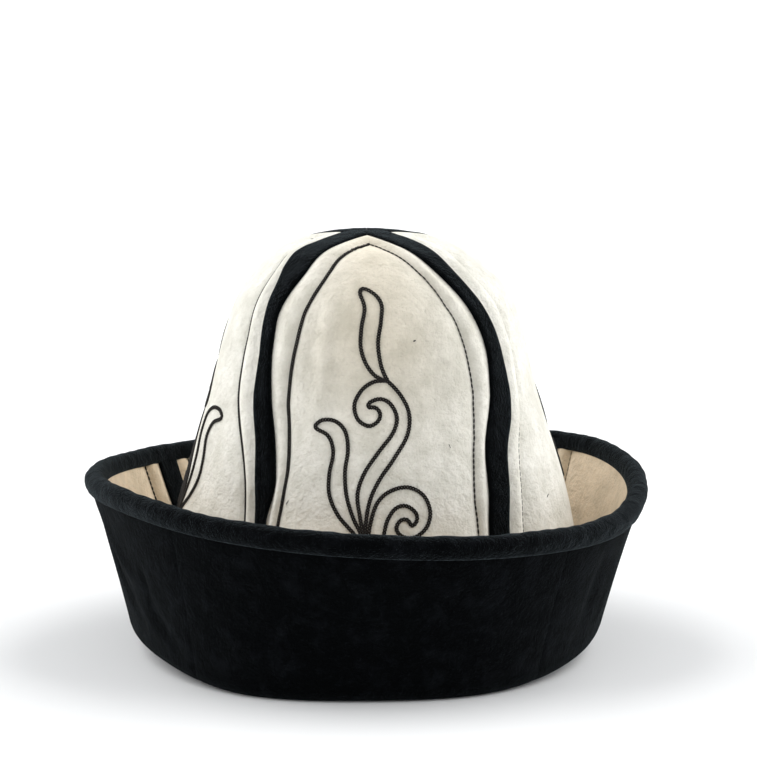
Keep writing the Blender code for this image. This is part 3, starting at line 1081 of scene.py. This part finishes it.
@dataclass
class BrimFacing:
    """The velvet panels outside the brim, hemmed inside the head opening."""

    surface: HatSurface
    across: int = 110
    hem_rows: int = 10
    fold_rows: int = 15
    brim_rows: int = 61
    hem: float = 0.6
    radius: float = 0.11
    inset: float = 0.0003
    seam_groove: float = 0.0003
    seam_width: float = 0.0012
    crowding: float = 0.12
    fold_lead: float = 0.15
    fold_blend: float = 0.4

    # Creases of the facing: azimuth in degrees and share of the brim's height at both ends,
    # half width in metres and depth in metres, where a positive depth is a hollow.
    creases: tuple[tuple[float, float, float, float, float, float], ...] = (
        (-84.0, 0.78, -62.0, 0.18, 0.0042, 0.0027),
        (-79.0, 0.90, -50.0, 0.08, 0.0046, -0.0018),
        (-70.0, 0.55, -42.0, 0.02, 0.0050, 0.0021),
        (-57.0, 0.62, -55.0, 0.25, 0.0026, 0.0012),
        (-92.0, 0.70, -84.0, 0.05, 0.0042, 0.0018),
        (-36.0, 0.30, -10.0, 0.12, 0.0080, -0.0008),
        (8.0, 0.75, 26.0, 0.30, 0.0080, 0.0007),
        (58.0, 0.88, 55.0, 0.10, 0.0050, 0.0013),
        (66.0, 0.80, 64.0, 0.05, 0.0045, -0.0010),
        (75.0, 0.85, 72.0, 0.10, 0.0050, 0.0013),
        (88.0, 0.80, 84.0, 0.15, 0.0055, -0.0010),
        (112.0, 0.85, 118.0, 0.15, 0.0060, 0.0012),
        (150.0, 0.70, 160.0, 0.20, 0.0080, 0.0010),
        (186.0, 0.80, 180.0, 0.15, 0.0070, -0.0009),
        (212.0, 0.75, 224.0, 0.20, 0.0065, 0.0012),
        (244.0, 0.85, 240.0, 0.15, 0.0060, 0.0011),
    )

    def relief(self, azimuth: np.ndarray, station: np.ndarray, edge: np.ndarray) -> np.ndarray:
        """How far the velvet stands out from its even layer.

        Args:
            azimuth: Angles round the hat.
            station: Stations on the fold and the brim.
            edge: Distance to the panel's nearer edge, in metres.

        Returns:
            Heights in metres.
        """
        climb = (station - self.surface.foot) * self.surface.brim_height
        height = np.zeros(azimuth.shape)
        for start, low, end, high, width, deep in self.creases:
            turn = around(azimuth - math.radians(start)) * self.radius
            run = np.array([
                math.radians(end - start) * self.radius,
                (high - low) * self.surface.brim_height,
            ])
            offset = np.stack([turn, climb - low * self.surface.brim_height], axis=-1)
            share = np.clip(offset @ run / (run @ run), 0, 1)
            away = np.linalg.norm(offset - share[..., None] * run, axis=-1)
            height -= deep * bump(away, width) * np.sin(math.pi * np.clip(share, 0.08, 0.92))
        fold = ease((station - self.surface.foot + self.fold_lead) / self.fold_blend)
        seam = -self.seam_groove * np.exp(-edge / self.seam_width)
        return height * fold * ease((self.surface.rim - station) * 6) + seam

    def build(self, gore: Gore, material: bpy.types.Material) -> bpy.types.Object:
        """Builds one panel.

        Args:
            gore: The gore that it covers on the brim.
            material: Its velvet.

        Returns:
            The panel's piece.
        """
        surface = self.surface
        hem = np.linspace(surface.fold - self.hem, surface.fold, self.hem_rows)[:-1]
        fold = np.linspace(surface.fold, surface.foot, self.fold_rows)[:-1]
        brim = np.linspace(surface.foot, surface.rim, self.brim_rows)
        stations = np.concatenate([hem, fold, brim])
        start, end = surface.span(gore, stations)
        share = np.linspace(-1.0, 1.0, self.across)
        share = (share + self.crowding * np.sin(math.pi * share)) * 0.5 + 0.5
        width = (end - start - 2 * self.inset)[:, None]
        azimuths = (start + self.inset)[:, None] + width * share[None, :]
        edge = np.minimum(azimuths - start[:, None], end[:, None] - azimuths) * self.radius
        relief = self.relief(azimuths, np.broadcast_to(stations[:, None], azimuths.shape), edge)

        def place(column: np.ndarray, row: np.ndarray, side: np.ndarray) -> np.ndarray:
            """Puts face 0 behind the felt and face 1 a velvet's depth beyond it."""
            depth = surface.felt + surface.gap + side * (surface.velvet + relief[row, column])
            return surface.layer(azimuths[row, column], stations[row], depth)

        name = f"velvet_facing_{gore.side}"
        mesh = sheet_mesh(name, self.across, len(stations), place)
        return finish_piece(mesh, material, (f"facing_{gore.side}",))


# The front bands' half widths in millimetres down their seams, by station: they are pinched
# where the felt swells beside them. The back ones are even.
PINCHES = {
    Seam.FRONT_LEFT: (
        (0.0, 1.2, 2.2, 3.0, 3.6, 4.3, 5.2, 6.0, 7.0, 8.2, 9.0, 10.0, 11.0, 13.0),
        (6.0, 6.2, 7.2, 7.0, 5.2, 3.6, 3.5, 4.6, 5.0, 5.2, 4.8, 4.6, 5.6, 6.0),
    ),
    Seam.FRONT_RIGHT: (
        (0.0, 1.2, 2.2, 3.0, 3.6, 4.5, 5.3, 5.9, 6.5, 7.2, 8.0, 9.0, 10.0, 11.0, 13.0),
        (6.0, 6.0, 5.2, 4.4, 4.0, 4.3, 4.7, 6.0, 6.4, 6.0, 5.5, 5.5, 5.6, 5.8, 6.0),
    ),
}


@dataclass
class SeamBand:
    """A flat velvet band over one seam, pointed where the four meet at the tip."""

    line: SeamLine
    half_width: float = 0.0060
    thickness: float = 0.0014
    stand_off: float = 0.0002
    mitre_blend: float = 0.012
    step: float = 0.0014
    across: int = 15
    lap: float = 0.0052
    lapped: tuple[float, float] = (7.55, 10.6)
    lap_ease: float = 0.9
    least_half: float = 0.0007
    start: float = 0.0002
    short_of_rim: float = 0.0015
    edge_height: float = 0.0002
    wander: tuple[float, float] = (0.00025, 190.0)
    wander_start: float = 0.03
    ripple: tuple[float, float] = (0.00012, 610.0)

    def shown_half(self, lengths: np.ndarray, half: np.ndarray) -> np.ndarray:
        """The half width that shows where the felt laps over the band near its foot.

        Args:
            lengths: Lengths from the tip.
            half: The band's half width at each length.

        Returns:
            Half widths in metres.
        """
        stations = self.line.station_at(lengths)
        start, end = self.lapped
        covered = ease((stations - start) / self.lap_ease) * ease((end - stations) / self.lap_ease)
        return np.maximum(half - self.lap * covered, self.least_half)

    def build(self, stitcher: Stitcher, material: bpy.types.Material) -> bpy.types.Object:
        """Builds the band, laid on the quilted felt.

        Args:
            stitcher: Finds the cloth under the band.
            material: Its velvet.

        Returns:
            The band's piece.
        """
        surface = self.line.surface
        end = self.line.length_at(surface.rim) - self.short_of_rim
        count = int(end / self.step)
        lengths = np.linspace(self.start, end, count)
        share = np.linspace(-1.0, 1.0, self.across)
        share = np.sin(share * math.pi / 2 * 0.999)
        swing, waves = self.wander
        wander = swing * np.sin(lengths * waves + self.line.seam.value)
        wander = wander * ease(lengths / self.wander_start)
        half = np.full(lengths.shape, self.half_width)
        if self.line.seam in PINCHES:
            half = np.interp(self.line.station_at(lengths), *PINCHES[self.line.seam]) / 1000
        across = share[None, :] * half[:, None] + wander[:, None]
        if self.line.seam is Seam.FRONT_LEFT:
            shown = self.shown_half(lengths, half)
            across = np.where(share[None, :] < 0, share[None, :] * shown[:, None], across)
        cut = np.abs(share)[None, :] * self.half_width
        cut = cut * np.clip(1 - lengths / self.mitre_blend, 0, 1)[:, None]
        length = np.minimum(lengths[:, None] + cut, end)
        flat, normal = self.line.beside(length.ravel(), across.ravel())
        seat = np.array([stitcher.settle(p, n) for p, n in zip(flat, normal)])
        drop = np.einsum("ij,ij->i", seat - flat, normal).reshape(length.shape)
        # The band bridges the seam's groove: its middle columns lie as those beside them do
        middle = self.across // 2
        spread = slice(middle - 2, middle + 3)
        drop[:, spread] = (drop[:, middle - 3 : middle - 2] + drop[:, middle + 3 : middle + 4]) / 2
        normals = normal.reshape(count, self.across, 3)
        base = flat.reshape(count, self.across, 3) + normals * drop[..., None]
        crown = self.thickness * (1 - np.abs(share) ** 6) ** 0.5
        swell, waves = self.ripple
        ripple = swell * np.sin(lengths * waves + 2.0)[:, None] * (1 - np.abs(share))[None, :]
        top = self.stand_off + self.edge_height + crown[None, :] + ripple
        lift = np.stack([np.full(top.shape, self.stand_off), top])

        def place(column: np.ndarray, row: np.ndarray, side: np.ndarray) -> np.ndarray:
            """Puts face 0 on the felt and face 1 on the band's rounded top."""
            return base[row, column] + normals[row, column] * lift[side, row, column][:, None]

        name = f"velvet_band_{self.line.seam.corner}"
        mesh = sheet_mesh(name, self.across, count, place)
        return finish_piece(mesh, material, (f"band_{self.line.seam.corner}",))


@dataclass
class RimBinding:
    """The padded velvet binding that closes the rim, stitched down along both legs."""

    surface: HatSurface
    thickness: float = 0.0016
    outer_leg: float = 0.0034
    inner_leg: float = 0.0032
    turns: int = 420

    # Puckers of the cloth: height, waves round the rim, slant, sway, and waves of the sway
    puckers: tuple[tuple[float, float, float, float, float], ...] = (
        (0.00010, 71.0, 420.0, 2.6, 9.0),
        (0.00012, 23.0, -300.0, 1.9, 5.0),
    )

    def outline(self) -> np.ndarray:
        """The channel's outline as (drop below the rim, rise over it, depth), closed.

        Returns:
            One row for each point of the outline.
        """
        surface = self.surface
        middle = surface.brim_wall / 2
        radius = middle + surface.gap + self.thickness
        outer = surface.brim_wall + surface.gap
        inner = -surface.gap
        edge = 1.5 * surface.gap
        legs = [
            (self.outer_leg + 0.0009, 0.0, outer + 0.0002),
            (self.outer_leg + 0.0008, 0.0, outer + 0.0008),
            (self.outer_leg, 0.0, outer + 0.0013),
            (self.outer_leg * 0.6, 0.0, outer + 0.0016),
            (self.outer_leg * 0.25, 0.0, outer + 0.0017),
        ]
        arc = [
            (0.0, surface.gap + radius * math.sin(turn), middle + radius * math.cos(turn))
            for turn in np.radians(np.linspace(0.0, 180.0, 17))
        ]
        back = [
            (self.inner_leg * 0.3, 0.0, inner - 0.0017),
            (self.inner_leg * 0.7, 0.0, inner - 0.0015),
            (self.inner_leg + 0.0006, 0.0, inner - 0.0010),
            (self.inner_leg + 0.0008, 0.0, inner - 0.0003),
            (self.inner_leg, 0.0, inner),
            (self.inner_leg * 0.5, 0.0, inner),
            (0.0, edge, inner),
            (0.0, edge, middle),
            (0.0, edge, outer),
            (self.outer_leg * 0.5, 0.0, outer),
            (self.outer_leg, 0.0, outer),
        ]
        return np.array(legs + arc + back)

    def build(self, material: bpy.types.Material) -> bpy.types.Object:
        """Builds the binding, a ring spun from a circle and then shaped.

        Args:
            material: Its velvet.

        Returns:
            The binding's piece.
        """
        outline = self.outline()
        count = len(outline)
        ring = bmesh.new()
        bmesh.ops.create_circle(ring, segments=count, radius=0.3)
        bmesh.ops.rotate(ring, verts=ring.verts[:], matrix=Matrix.Rotation(math.pi / 2, 3, "X"))
        bmesh.ops.translate(ring, verts=ring.verts[:], vec=(1.0, 0.0, 0.0))
        bmesh.ops.spin(
            ring, geom=ring.verts[:] + ring.edges[:], axis=(0.0, 0.0, 1.0), cent=(0.0, 0.0, 0.0),
            angle=math.tau, steps=self.turns, use_merge=True,
        )
        bmesh.ops.remove_doubles(ring, verts=ring.verts[:], dist=1e-5)
        bmesh.ops.recalc_face_normals(ring, faces=ring.faces[:])
        mesh = bpy.data.meshes.new("velvet_rim_binding")
        ring.to_mesh(mesh)
        ring.free()
        flat = read_points(mesh)
        azimuth = np.arctan2(flat[:, 1], flat[:, 0])
        turn = np.arctan2(flat[:, 2], np.hypot(flat[:, 0], flat[:, 1]) - 1.0)
        spot = np.rint(turn / math.tau * count).astype(int) % count
        drop, rise, depth = outline[spot].T
        surface = self.surface
        low = surface.smooth_point(azimuth, np.full(azimuth.shape, float(surface.foot)))
        edge = surface.smooth_point(azimuth, np.full(azimuth.shape, float(surface.rim)))
        station = surface.rim - drop / np.linalg.norm(edge - low, axis=-1)
        upward = unit(edge - low)
        puff = (spot > 1) & (spot < count - 12)
        pucker = sum(
            height * np.sin(azimuth * waves + drop * slant + sway * np.sin(azimuth * swings))
            for height, waves, slant, sway, swings in self.puckers
        )
        middle = surface.brim_wall / 2
        outward = np.sign(depth - middle)
        points = surface.layer(azimuth, station, depth + np.where(puff, pucker * outward, 0.0))
        points = points + upward * (rise + np.where(puff & (rise > 0), pucker, 0.0))[:, None]
        move_points(mesh, points)
        return finish_piece(mesh, material, ("binding",))


# The scroll on each gore, in millimetres across from the gore's middle line and up from the
# fold. Each line is a smooth curve through its points.
SCROLL = {
    "top_flame": (
        (0.6, 127.0), (-3.6, 129.4), (-7.0, 134.6), (-8.2, 141.3), (-6.6, 149.1),
        (-3.6, 158.0), (-4.3, 164.6), (-3.2, 167.0), (-0.6, 166.4), (2.4, 163.4),
        (3.8, 159.0), (2.2, 151.8), (-0.5, 143.0), (-0.5, 134.9), (0.8, 129.8), (2.6, 126.4),
    ),
    "scroll_back": (
        (0.8, 126.9), (2.6, 126.4), (8.0, 120.4), (11.6, 112.5), (11.0, 103.3),
        (5.3, 93.6), (-1.0, 85.0), (-5.4, 76.2), (-7.2, 66.1), (-7.0, 58.0), (-6.2, 48.0),
    ),
    "scroll_head": (
        (0.8, 126.9), (-4.0, 126.4), (-9.2, 123.0), (-12.6, 116.8), (-11.0, 110.5), (-5.8, 107.6),
        (-1.8, 110.0), (-1.4, 113.4), (-3.6, 115.6), (-6.3, 115.6), (-6.0, 117.6), (-1.4, 119.2),
        (3.2, 117.1), (6.2, 111.1), (4.7, 104.6), (-0.9, 97.0), (-7.5, 87.4), (-10.6, 78.3),
        (-9.6, 69.1), (-7.8, 60.0), (-6.6, 48.0),
    ),
    "left_flame": (
        (-7.0, 48.5), (-8.2, 56.0), (-12.0, 62.0), (-18.7, 69.6), (-22.4, 77.9),
        (-22.4, 86.7), (-20.8, 96.0), (-23.4, 102.9),
        (-28.9, 105.8), (-29.0, 107.6), (-26.0, 109.7), (-20.6, 109.3), (-16.0, 105.0),
        (-14.4, 97.1), (-15.6, 88.0), (-15.2, 78.1), (-12.6, 69.0), (-8.6, 60.5), (-6.8, 48.5),
    ),
    "curl": (
        (-5.9, 48.0), (-6.0, 60.0), (-4.8, 68.3), (-2.2, 75.4), (3.2, 80.0), (10.6, 81.5),
        (17.0, 78.0), (19.8, 71.0), (18.4, 64.4), (13.6, 60.4), (8.4, 60.8), (5.6, 64.0), (7.2, 67.6),
        (10.2, 67.8), (12.2, 65.2), (14.2, 67.3), (13.6, 70.8), (9.5, 73.7), (5.1, 72.6),
        (1.7, 67.4), (0.2, 60.3), (-1.8, 53.0), (-5.6, 47.5),
    ),
}

# How far each gore's scroll sits from the middle line and above its drawn place, in metres
SCROLL_SHIFTS = {
    Gore.FRONT: (-0.0006, 0.0),
    Gore.RIGHT: (0.0206, 0.013),
    Gore.BACK: (0.0, 0.0),
    Gore.LEFT: (0.0018, -0.009),
}
# A scroll's size, and how far it leans aside above a height as a share of what is over it
SCROLL_SIZES = {Gore.FRONT: 1.0, Gore.RIGHT: 0.74, Gore.BACK: 1.0, Gore.LEFT: 1.0}
SCROLL_LEANS = {Gore.FRONT: 0.0, Gore.RIGHT: 0.10, Gore.BACK: 0.0, Gore.LEFT: -0.47}
LEAN_FROM = 0.100

# A chain stitch's half loop: length, width and height, how far it stands to its side, and
# how much it splays
CHAIN_LOOP = (0.00195, 0.00088, 0.00085)
CHAIN_OPEN = 0.00042
CHAIN_SPLAY = 0.42


def chain_link(point: Vector, along: Vector, normal: Vector) -> list[tuple[Vector, Vector, Vector]]:
    """The two half loops of one chain stitch.

    Args:
        point: The stitch's place on the felt.
        along: The line's direction.
        normal: The felt's normal.

    Returns:
        Each half loop's point, direction and normal.
    """
    side = normal.cross(along)
    return [
        (point + side * hand * CHAIN_OPEN, (along + side * hand * CHAIN_SPLAY).normalized(), normal)
        for hand in (-1.0, 1.0)
    ]


@dataclass
class ChainEmbroidery:
    """The black chain-stitched scroll on each gore, mirrored on every second one."""

    surface: HatSurface
    gores: FeltGores
    pitch: float = 0.00125
    fineness: int = 40
    first_station: float = 0.05
    samples: int = 600

    def curve(self, points: np.ndarray, pitch: float) -> np.ndarray:
        """Evenly spaced points on a smooth curve through some points.

        Args:
            points: The points to pass through.
            pitch: The spacing along the curve.

        Returns:
            The spaced points.
        """
        knots = np.vstack([2 * points[0] - points[1], points, 2 * points[-1] - points[-2]])
        count = len(points)
        dense = spline(knots, np.linspace(0, count - 1.0001, self.fineness * count))
        length = running_length(dense)
        return between_rows(np.arange(0.0, length[-1], pitch), length, dense)

    def on_gore(self, gore: Gore, drawn: np.ndarray) -> tuple[np.ndarray, np.ndarray]:
        """Places drawn points (metres across and up) on a gore.

        Args:
            gore: The gore.
            drawn: Points in the drawing.

        Returns:
            Points on the smooth felt and the normals there.
        """
        stations = np.linspace(self.first_station, self.surface.fold, self.samples)
        start, end = self.surface.span(gore, stations)
        middle = (start + end) / 2
        spine = self.surface.smooth_point(middle, stations)
        down = running_length(spine)
        station = np.interp(-drawn[:, 1], down - down[-1], stations)
        centre = np.interp(station, stations, middle)
        stretch = np.linalg.norm(self.surface.slopes(centre, station)[0], axis=-1)
        azimuth = centre + drawn[:, 0] / stretch
        return self.surface.smooth_point(azimuth, station), self.surface.normal(azimuth, station)

    def build(self, gore: Gore, stitcher: Stitcher) -> bpy.types.Object:
        """Embroiders one gore.

        Args:
            gore: The gore.
            stitcher: Finds the cloth and lays the stitches.

        Returns:
            The scroll's piece.
        """
        mirror = -1.0 if gore.value % 2 else 1.0
        stitches: list[tuple[Vector, Vector, Vector]] = []
        for drawn in SCROLL.values():
            points = np.array(drawn) / 1000 * SCROLL_SIZES[gore] * np.array([mirror, 1.0])
            points = points + SCROLL_SHIFTS[gore]
            points[:, 0] += SCROLL_LEANS[gore] * np.maximum(points[:, 1] - LEAN_FROM, 0.0)
            flat, normals = self.on_gore(gore, self.curve(points, self.pitch))
            seats = [stitcher.settle(p, n) for p, n in zip(flat, normals)]
            for place in range(len(seats) - 1):
                along = (seats[place + 1] - seats[place]).normalized()
                stitches += chain_link(seats[place], along, Vector(normals[place]))
        return stitcher.lay(f"chain_stitch_{gore.side}", stitches, CHAIN_LOOP)


@dataclass
class QuiltingThread:
    """The black stitched line that runs beside each seam and arches over each gore. It is a
    heavy chain beside the front left seam, too fine to show on the right gore and fine
    elsewhere, and it is pulled tighter towards the top."""

    surface: HatSurface
    gores: FeltGores
    pitch: float = 0.00125
    length: float = 0.0027
    heavy: float = 0.00088
    fine: float = 0.00080
    faint: float = 0.00008
    samples: int = 420
    first_station: float = 0.25
    short_of_rim: float = 0.02
    arch: float = 0.02
    change_over: float = 0.03
    tighter: float = 0.25
    tighter_from: float = 0.10
    tighter_over: float = 0.06

    def weights(self, gore: Gore) -> tuple[float, float]:
        """The thread's width on a gore's first and second side.

        Args:
            gore: The gore.

        Returns:
            Both widths in metres.
        """
        if gore is Gore.FRONT:
            return self.heavy, self.fine
        if gore is Gore.LEFT:
            return self.fine, self.heavy
        if gore is Gore.RIGHT:
            return self.faint, self.faint
        return self.fine, self.fine

    def path(self, gore: Gore) -> tuple[np.ndarray, np.ndarray]:
        """Azimuths and stations along the line, up one side of a gore and down the other.

        Args:
            gore: The gore.

        Returns:
            The azimuths and the stations.
        """
        last = self.surface.rim - self.short_of_rim
        stations = np.linspace(self.first_station, last, self.samples)
        columns = self.gores.columns(gore, stations)
        count = columns.shape[1]
        points = self.surface.smooth_point(columns, stations[:, None])
        wanted = self.gores.stitch_line
        left: list[tuple[float, float]] = []
        right: list[tuple[float, float]] = []
        for row in range(len(stations)):
            from_first, from_second = self.gores.away(gore, points[row])
            if np.minimum(from_first, from_second).max() < wanted:
                continue
            near = np.argmax(from_first >= wanted)
            far = count - 1 - np.argmax(from_second[::-1] >= wanted)
            left.append((self.crossing(from_first, columns[row], near, -1, wanted), stations[row]))
            right.append((self.crossing(from_second, columns[row], far, 1, wanted), stations[row]))
        peak = ((left[0][0] + right[0][0]) / 2, left[0][1] - self.arch)
        line = np.array(left[::-1] + [peak] + right)
        return line[:, 0], line[:, 1]

    def crossing(
        self, away: np.ndarray, columns: np.ndarray, place: int, back: int, wanted: float
    ) -> float:
        """The azimuth where a row's distance from its seam reaches the wanted one.

        Args:
            away: Distances along the row.
            columns: Azimuths along the row.
            place: The first column beyond the wanted distance.
            back: The step to the column before it, -1 or 1.
            wanted: The wanted distance.

        Returns:
            The azimuth.
        """
        before = int(np.clip(place + back, 0, len(away) - 1))
        gain = away[place] - away[before]
        share = 0.0 if abs(gain) < 1e-9 else (wanted - away[before]) / gain
        return float(columns[before] + np.clip(share, 0, 1) * (columns[place] - columns[before]))

    def build(self, gore: Gore, stitcher: Stitcher) -> bpy.types.Object:
        """Sews the line on one gore.

        Args:
            gore: The gore.
            stitcher: Finds the cloth and lays the stitches.

        Returns:
            The line's piece.
        """
        azimuths, stations = self.path(gore)
        length = running_length(self.surface.smooth_point(azimuths, stations))
        wanted = np.arange(0.0, length[-1], self.pitch)
        peak = int(np.searchsorted(wanted, length[np.argmin(stations)]))
        azimuths = np.interp(wanted, length, azimuths)
        stations = np.interp(wanted, length, stations)
        flat = self.surface.smooth_point(azimuths, stations)
        normals = self.surface.normal(azimuths, stations)
        seats = [stitcher.settle(p, n) for p, n in zip(flat, normals)]
        first, second = self.weights(gore)
        share = ease((wanted[:-1] - wanted[peak]) / self.change_over + 0.5)
        widths = first + (second - first) * share
        chained = widths > (self.heavy + self.fine) / 2
        height = (flat[:-1, 2] - self.tighter_from) / self.tighter_over
        widths = widths * (1.0 - self.tighter * ease(height))
        stitches: list[tuple[Vector, Vector, Vector]] = []
        sizes: list[tuple[float, float, float]] = []
        for place, width in enumerate(widths):
            normal = Vector(normals[place])
            along = (seats[place + 1] - seats[place]).normalized()
            if chained[place]:
                stitches += chain_link(seats[place], along, normal)
                sizes += [(CHAIN_LOOP[0], width, CHAIN_LOOP[2])] * 2
            elif place % 2:
                stitches.append((seats[place], along, normal))
                sizes.append((self.length, width, 0.0003 + width * 0.5))
        return stitcher.lay(f"quilting_thread_{gore.side}", stitches, np.array(sizes), sink=0.15)


# Specks and loose fibres on the hat: azimuth in degrees, station, length and width in
# millimetres, and the fibre's turn in degrees
FIBRES = (
    (15.0, 4.75, 1.4, 0.7, 20.0),
    (-53.0, 3.35, 1.4, 0.8, 70.0),
    (-51.0, 4.15, 1.5, 0.9, 40.0),
    (-27.0, 7.9, 2.6, 0.25, 60.0),
    (24.0, 6.9, 2.2, 0.22, 110.0),
    (62.0, 8.1, 2.8, 0.25, 30.0),
    (131.0, 6.3, 2.4, 0.25, 80.0),
    (182.0, 7.2, 2.0, 0.25, 15.0),
    (214.0, 5.0, 2.4, 0.25, 50.0),
)


@dataclass
class LooseFibres:
    """A few dark specks and fibres caught in the felt."""

    surface: HatSurface
    height: float = 0.0004

    def build(self, stitcher: Stitcher) -> bpy.types.Object:
        """Lays the fibres.

        Args:
            stitcher: Finds the cloth and lays the stitches.

        Returns:
            The fibres' piece.
        """
        stitches: list[tuple[Vector, Vector, Vector]] = []
        sizes: list[tuple[float, float, float]] = []
        for degrees, row, length, width, turn in FIBRES:
            azimuth = np.array([math.radians(degrees)])
            station = np.array([row])
            point = self.surface.smooth_point(azimuth, station)[0]
            normal = self.surface.normal(azimuth, station)[0]
            along = Vector(unit(self.surface.slopes(azimuth, station)[0][0]))
            along.rotate(Matrix.Rotation(math.radians(turn), 3, Vector(normal)))
            stitches.append((stitcher.settle(point, normal), along, Vector(normal)))
            sizes.append((length / 1000, width / 1000, self.height))
        return stitcher.lay("loose_fibres", stitches, np.array(sizes))


@dataclass
class Studio:
    """A wide pale sheet under soft light from both sides, behind and above, with the
    photograph's camera. The front is lit mostly by what the sheet and the room give back."""

    camera_place: tuple[float, float, float] = (-0.0093, -1.165, 0.3271)
    camera_aim: tuple[float, float, float] = (0.0056, 0.0, 0.1178)
    lens: float = 125.2
    floor_size: float = 80.0
    floor_colour: str = "ECEDED"
    world_colour: str = "F6F7FA"
    world_strength: float = 0.45

    # The lights: name, direction from the hat, width in the sky in degrees and strength
    lights: tuple[tuple[str, tuple[float, float, float], float, float], ...] = (
        ("window_left", (-1.0, 0.30, 0.70), 76.0, 2.95),
        ("window_right", (1.0, 0.30, 0.70), 76.0, 3.1),
        ("skylight", (0.0, 0.15, 1.0), 80.0, 0.22),
    )

    def build(self) -> None:
        """Adds the floor, world, lights and camera."""
        self.add_floor()
        self.add_world()
        for light in self.lights:
            self.add_light(*light)
        self.add_camera()

    def add_floor(self) -> None:
        """A wide pale sheet that the hat stands on."""
        sheet = bmesh.new()
        bmesh.ops.create_grid(sheet, x_segments=4, y_segments=4, size=self.floor_size / 2)
        mesh = bpy.data.meshes.new("paper_floor")
        sheet.to_mesh(mesh)
        sheet.free()
        material, shader = new_material("matt_paper")
        colour = linear(self.floor_colour)
        set_node(shader, Base_Color=colour, Roughness=0.9, Specular_IOR_Level=0.05)
        mesh.materials.append(material)
        floor = bpy.data.objects.new("paper_floor", mesh)
        bpy.context.scene.collection.objects.link(floor)

    def add_world(self) -> None:
        """An even pale surround."""
        world = bpy.data.worlds.new("pale_surround")
        world.use_nodes = True
        surround = world.node_tree.nodes["Background"]
        set_node(surround, Color=linear(self.world_colour), Strength=self.world_strength)
        bpy.context.scene.world = world

    def add_light(
        self, name: str, toward: tuple[float, float, float], spread: float, strength: float
    ) -> None:
        """A soft distant light that comes from one direction.

        Args:
            name: The light's name.
            toward: Direction from the hat to the light.
            spread: The light's width in the sky, in degrees.
            strength: Its strength in watts per square metre.
        """
        light = bpy.data.lights.new(name, "SUN")
        light.angle = math.radians(spread)
        light.energy = strength
        sun = bpy.data.objects.new(name, light)
        sun.location = Vector(toward) * 2
        sun.rotation_euler = (-Vector(toward)).to_track_quat("-Z", "Y").to_euler()
        bpy.context.scene.collection.objects.link(sun)

    def add_camera(self) -> None:
        """The photograph's view."""
        lens = bpy.data.cameras.new("view")
        lens.lens = self.lens
        lens.sensor_width = 36.0
        lens.clip_end = 30.0
        camera = bpy.data.objects.new("view", lens)
        camera.location = self.camera_place
        aim = Vector(self.camera_aim) - Vector(self.camera_place)
        camera.rotation_euler = aim.to_track_quat("-Z", "Y").to_euler()
        bpy.context.scene.collection.objects.link(camera)
        bpy.context.scene.camera = camera


def felt_cover(pieces: list[bpy.types.Object]) -> BVHTree:
    """The gores' faces as one searchable cover.

    Args:
        pieces: The finished gores.

    Returns:
        The cover.
    """
    merged = bmesh.new()
    for piece in pieces:
        merged.from_mesh(piece.data)
    cover = BVHTree.FromBMesh(merged)
    merged.free()
    return cover


def main() -> None:
    """Builds the hat's pieces in order and reports each one."""
    logging.basicConfig(level=logging.INFO, format="%(message)s")
    # What Blender's own start-up file holds, where the script is run in one
    for name in ("Cube", "Light", "Camera"):
        spare = bpy.data.objects.get(name)
        if spare is not None:
            bpy.data.objects.remove(spare)
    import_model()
    felt = FeltFinish().make()
    velvet = VelvetFinish().make()
    trim = VelvetFinish(name="black_velvet_trim", sheen=0.25).make()
    thread = ThreadFinish().make()
    surface = HatSurface()
    lines = [SeamLine(surface, seam) for seam in Seam]
    gores = FeltGores(surface, lines)
    facing = BrimFacing(surface)
    felt_pieces = [gores.build(gore, felt) for gore in Gore]
    for gore in Gore:
        facing.build(gore, velvet)
    stitcher = Stitcher(felt_cover(felt_pieces), thread)
    for line in lines:
        SeamBand(line).build(stitcher, trim)
    RimBinding(surface).build(trim)
    embroidery = ChainEmbroidery(surface, gores)
    quilting = QuiltingThread(surface, gores)
    for gore in Gore:
        embroidery.build(gore, stitcher)
        quilting.build(gore, stitcher)
    LooseFibres(surface).build(stitcher)
    Studio().build()
    scene = bpy.context.scene
    scene.view_settings.view_transform = "Standard"
    scene.view_settings.look = "None"


if __name__ == "__main__":
    main()
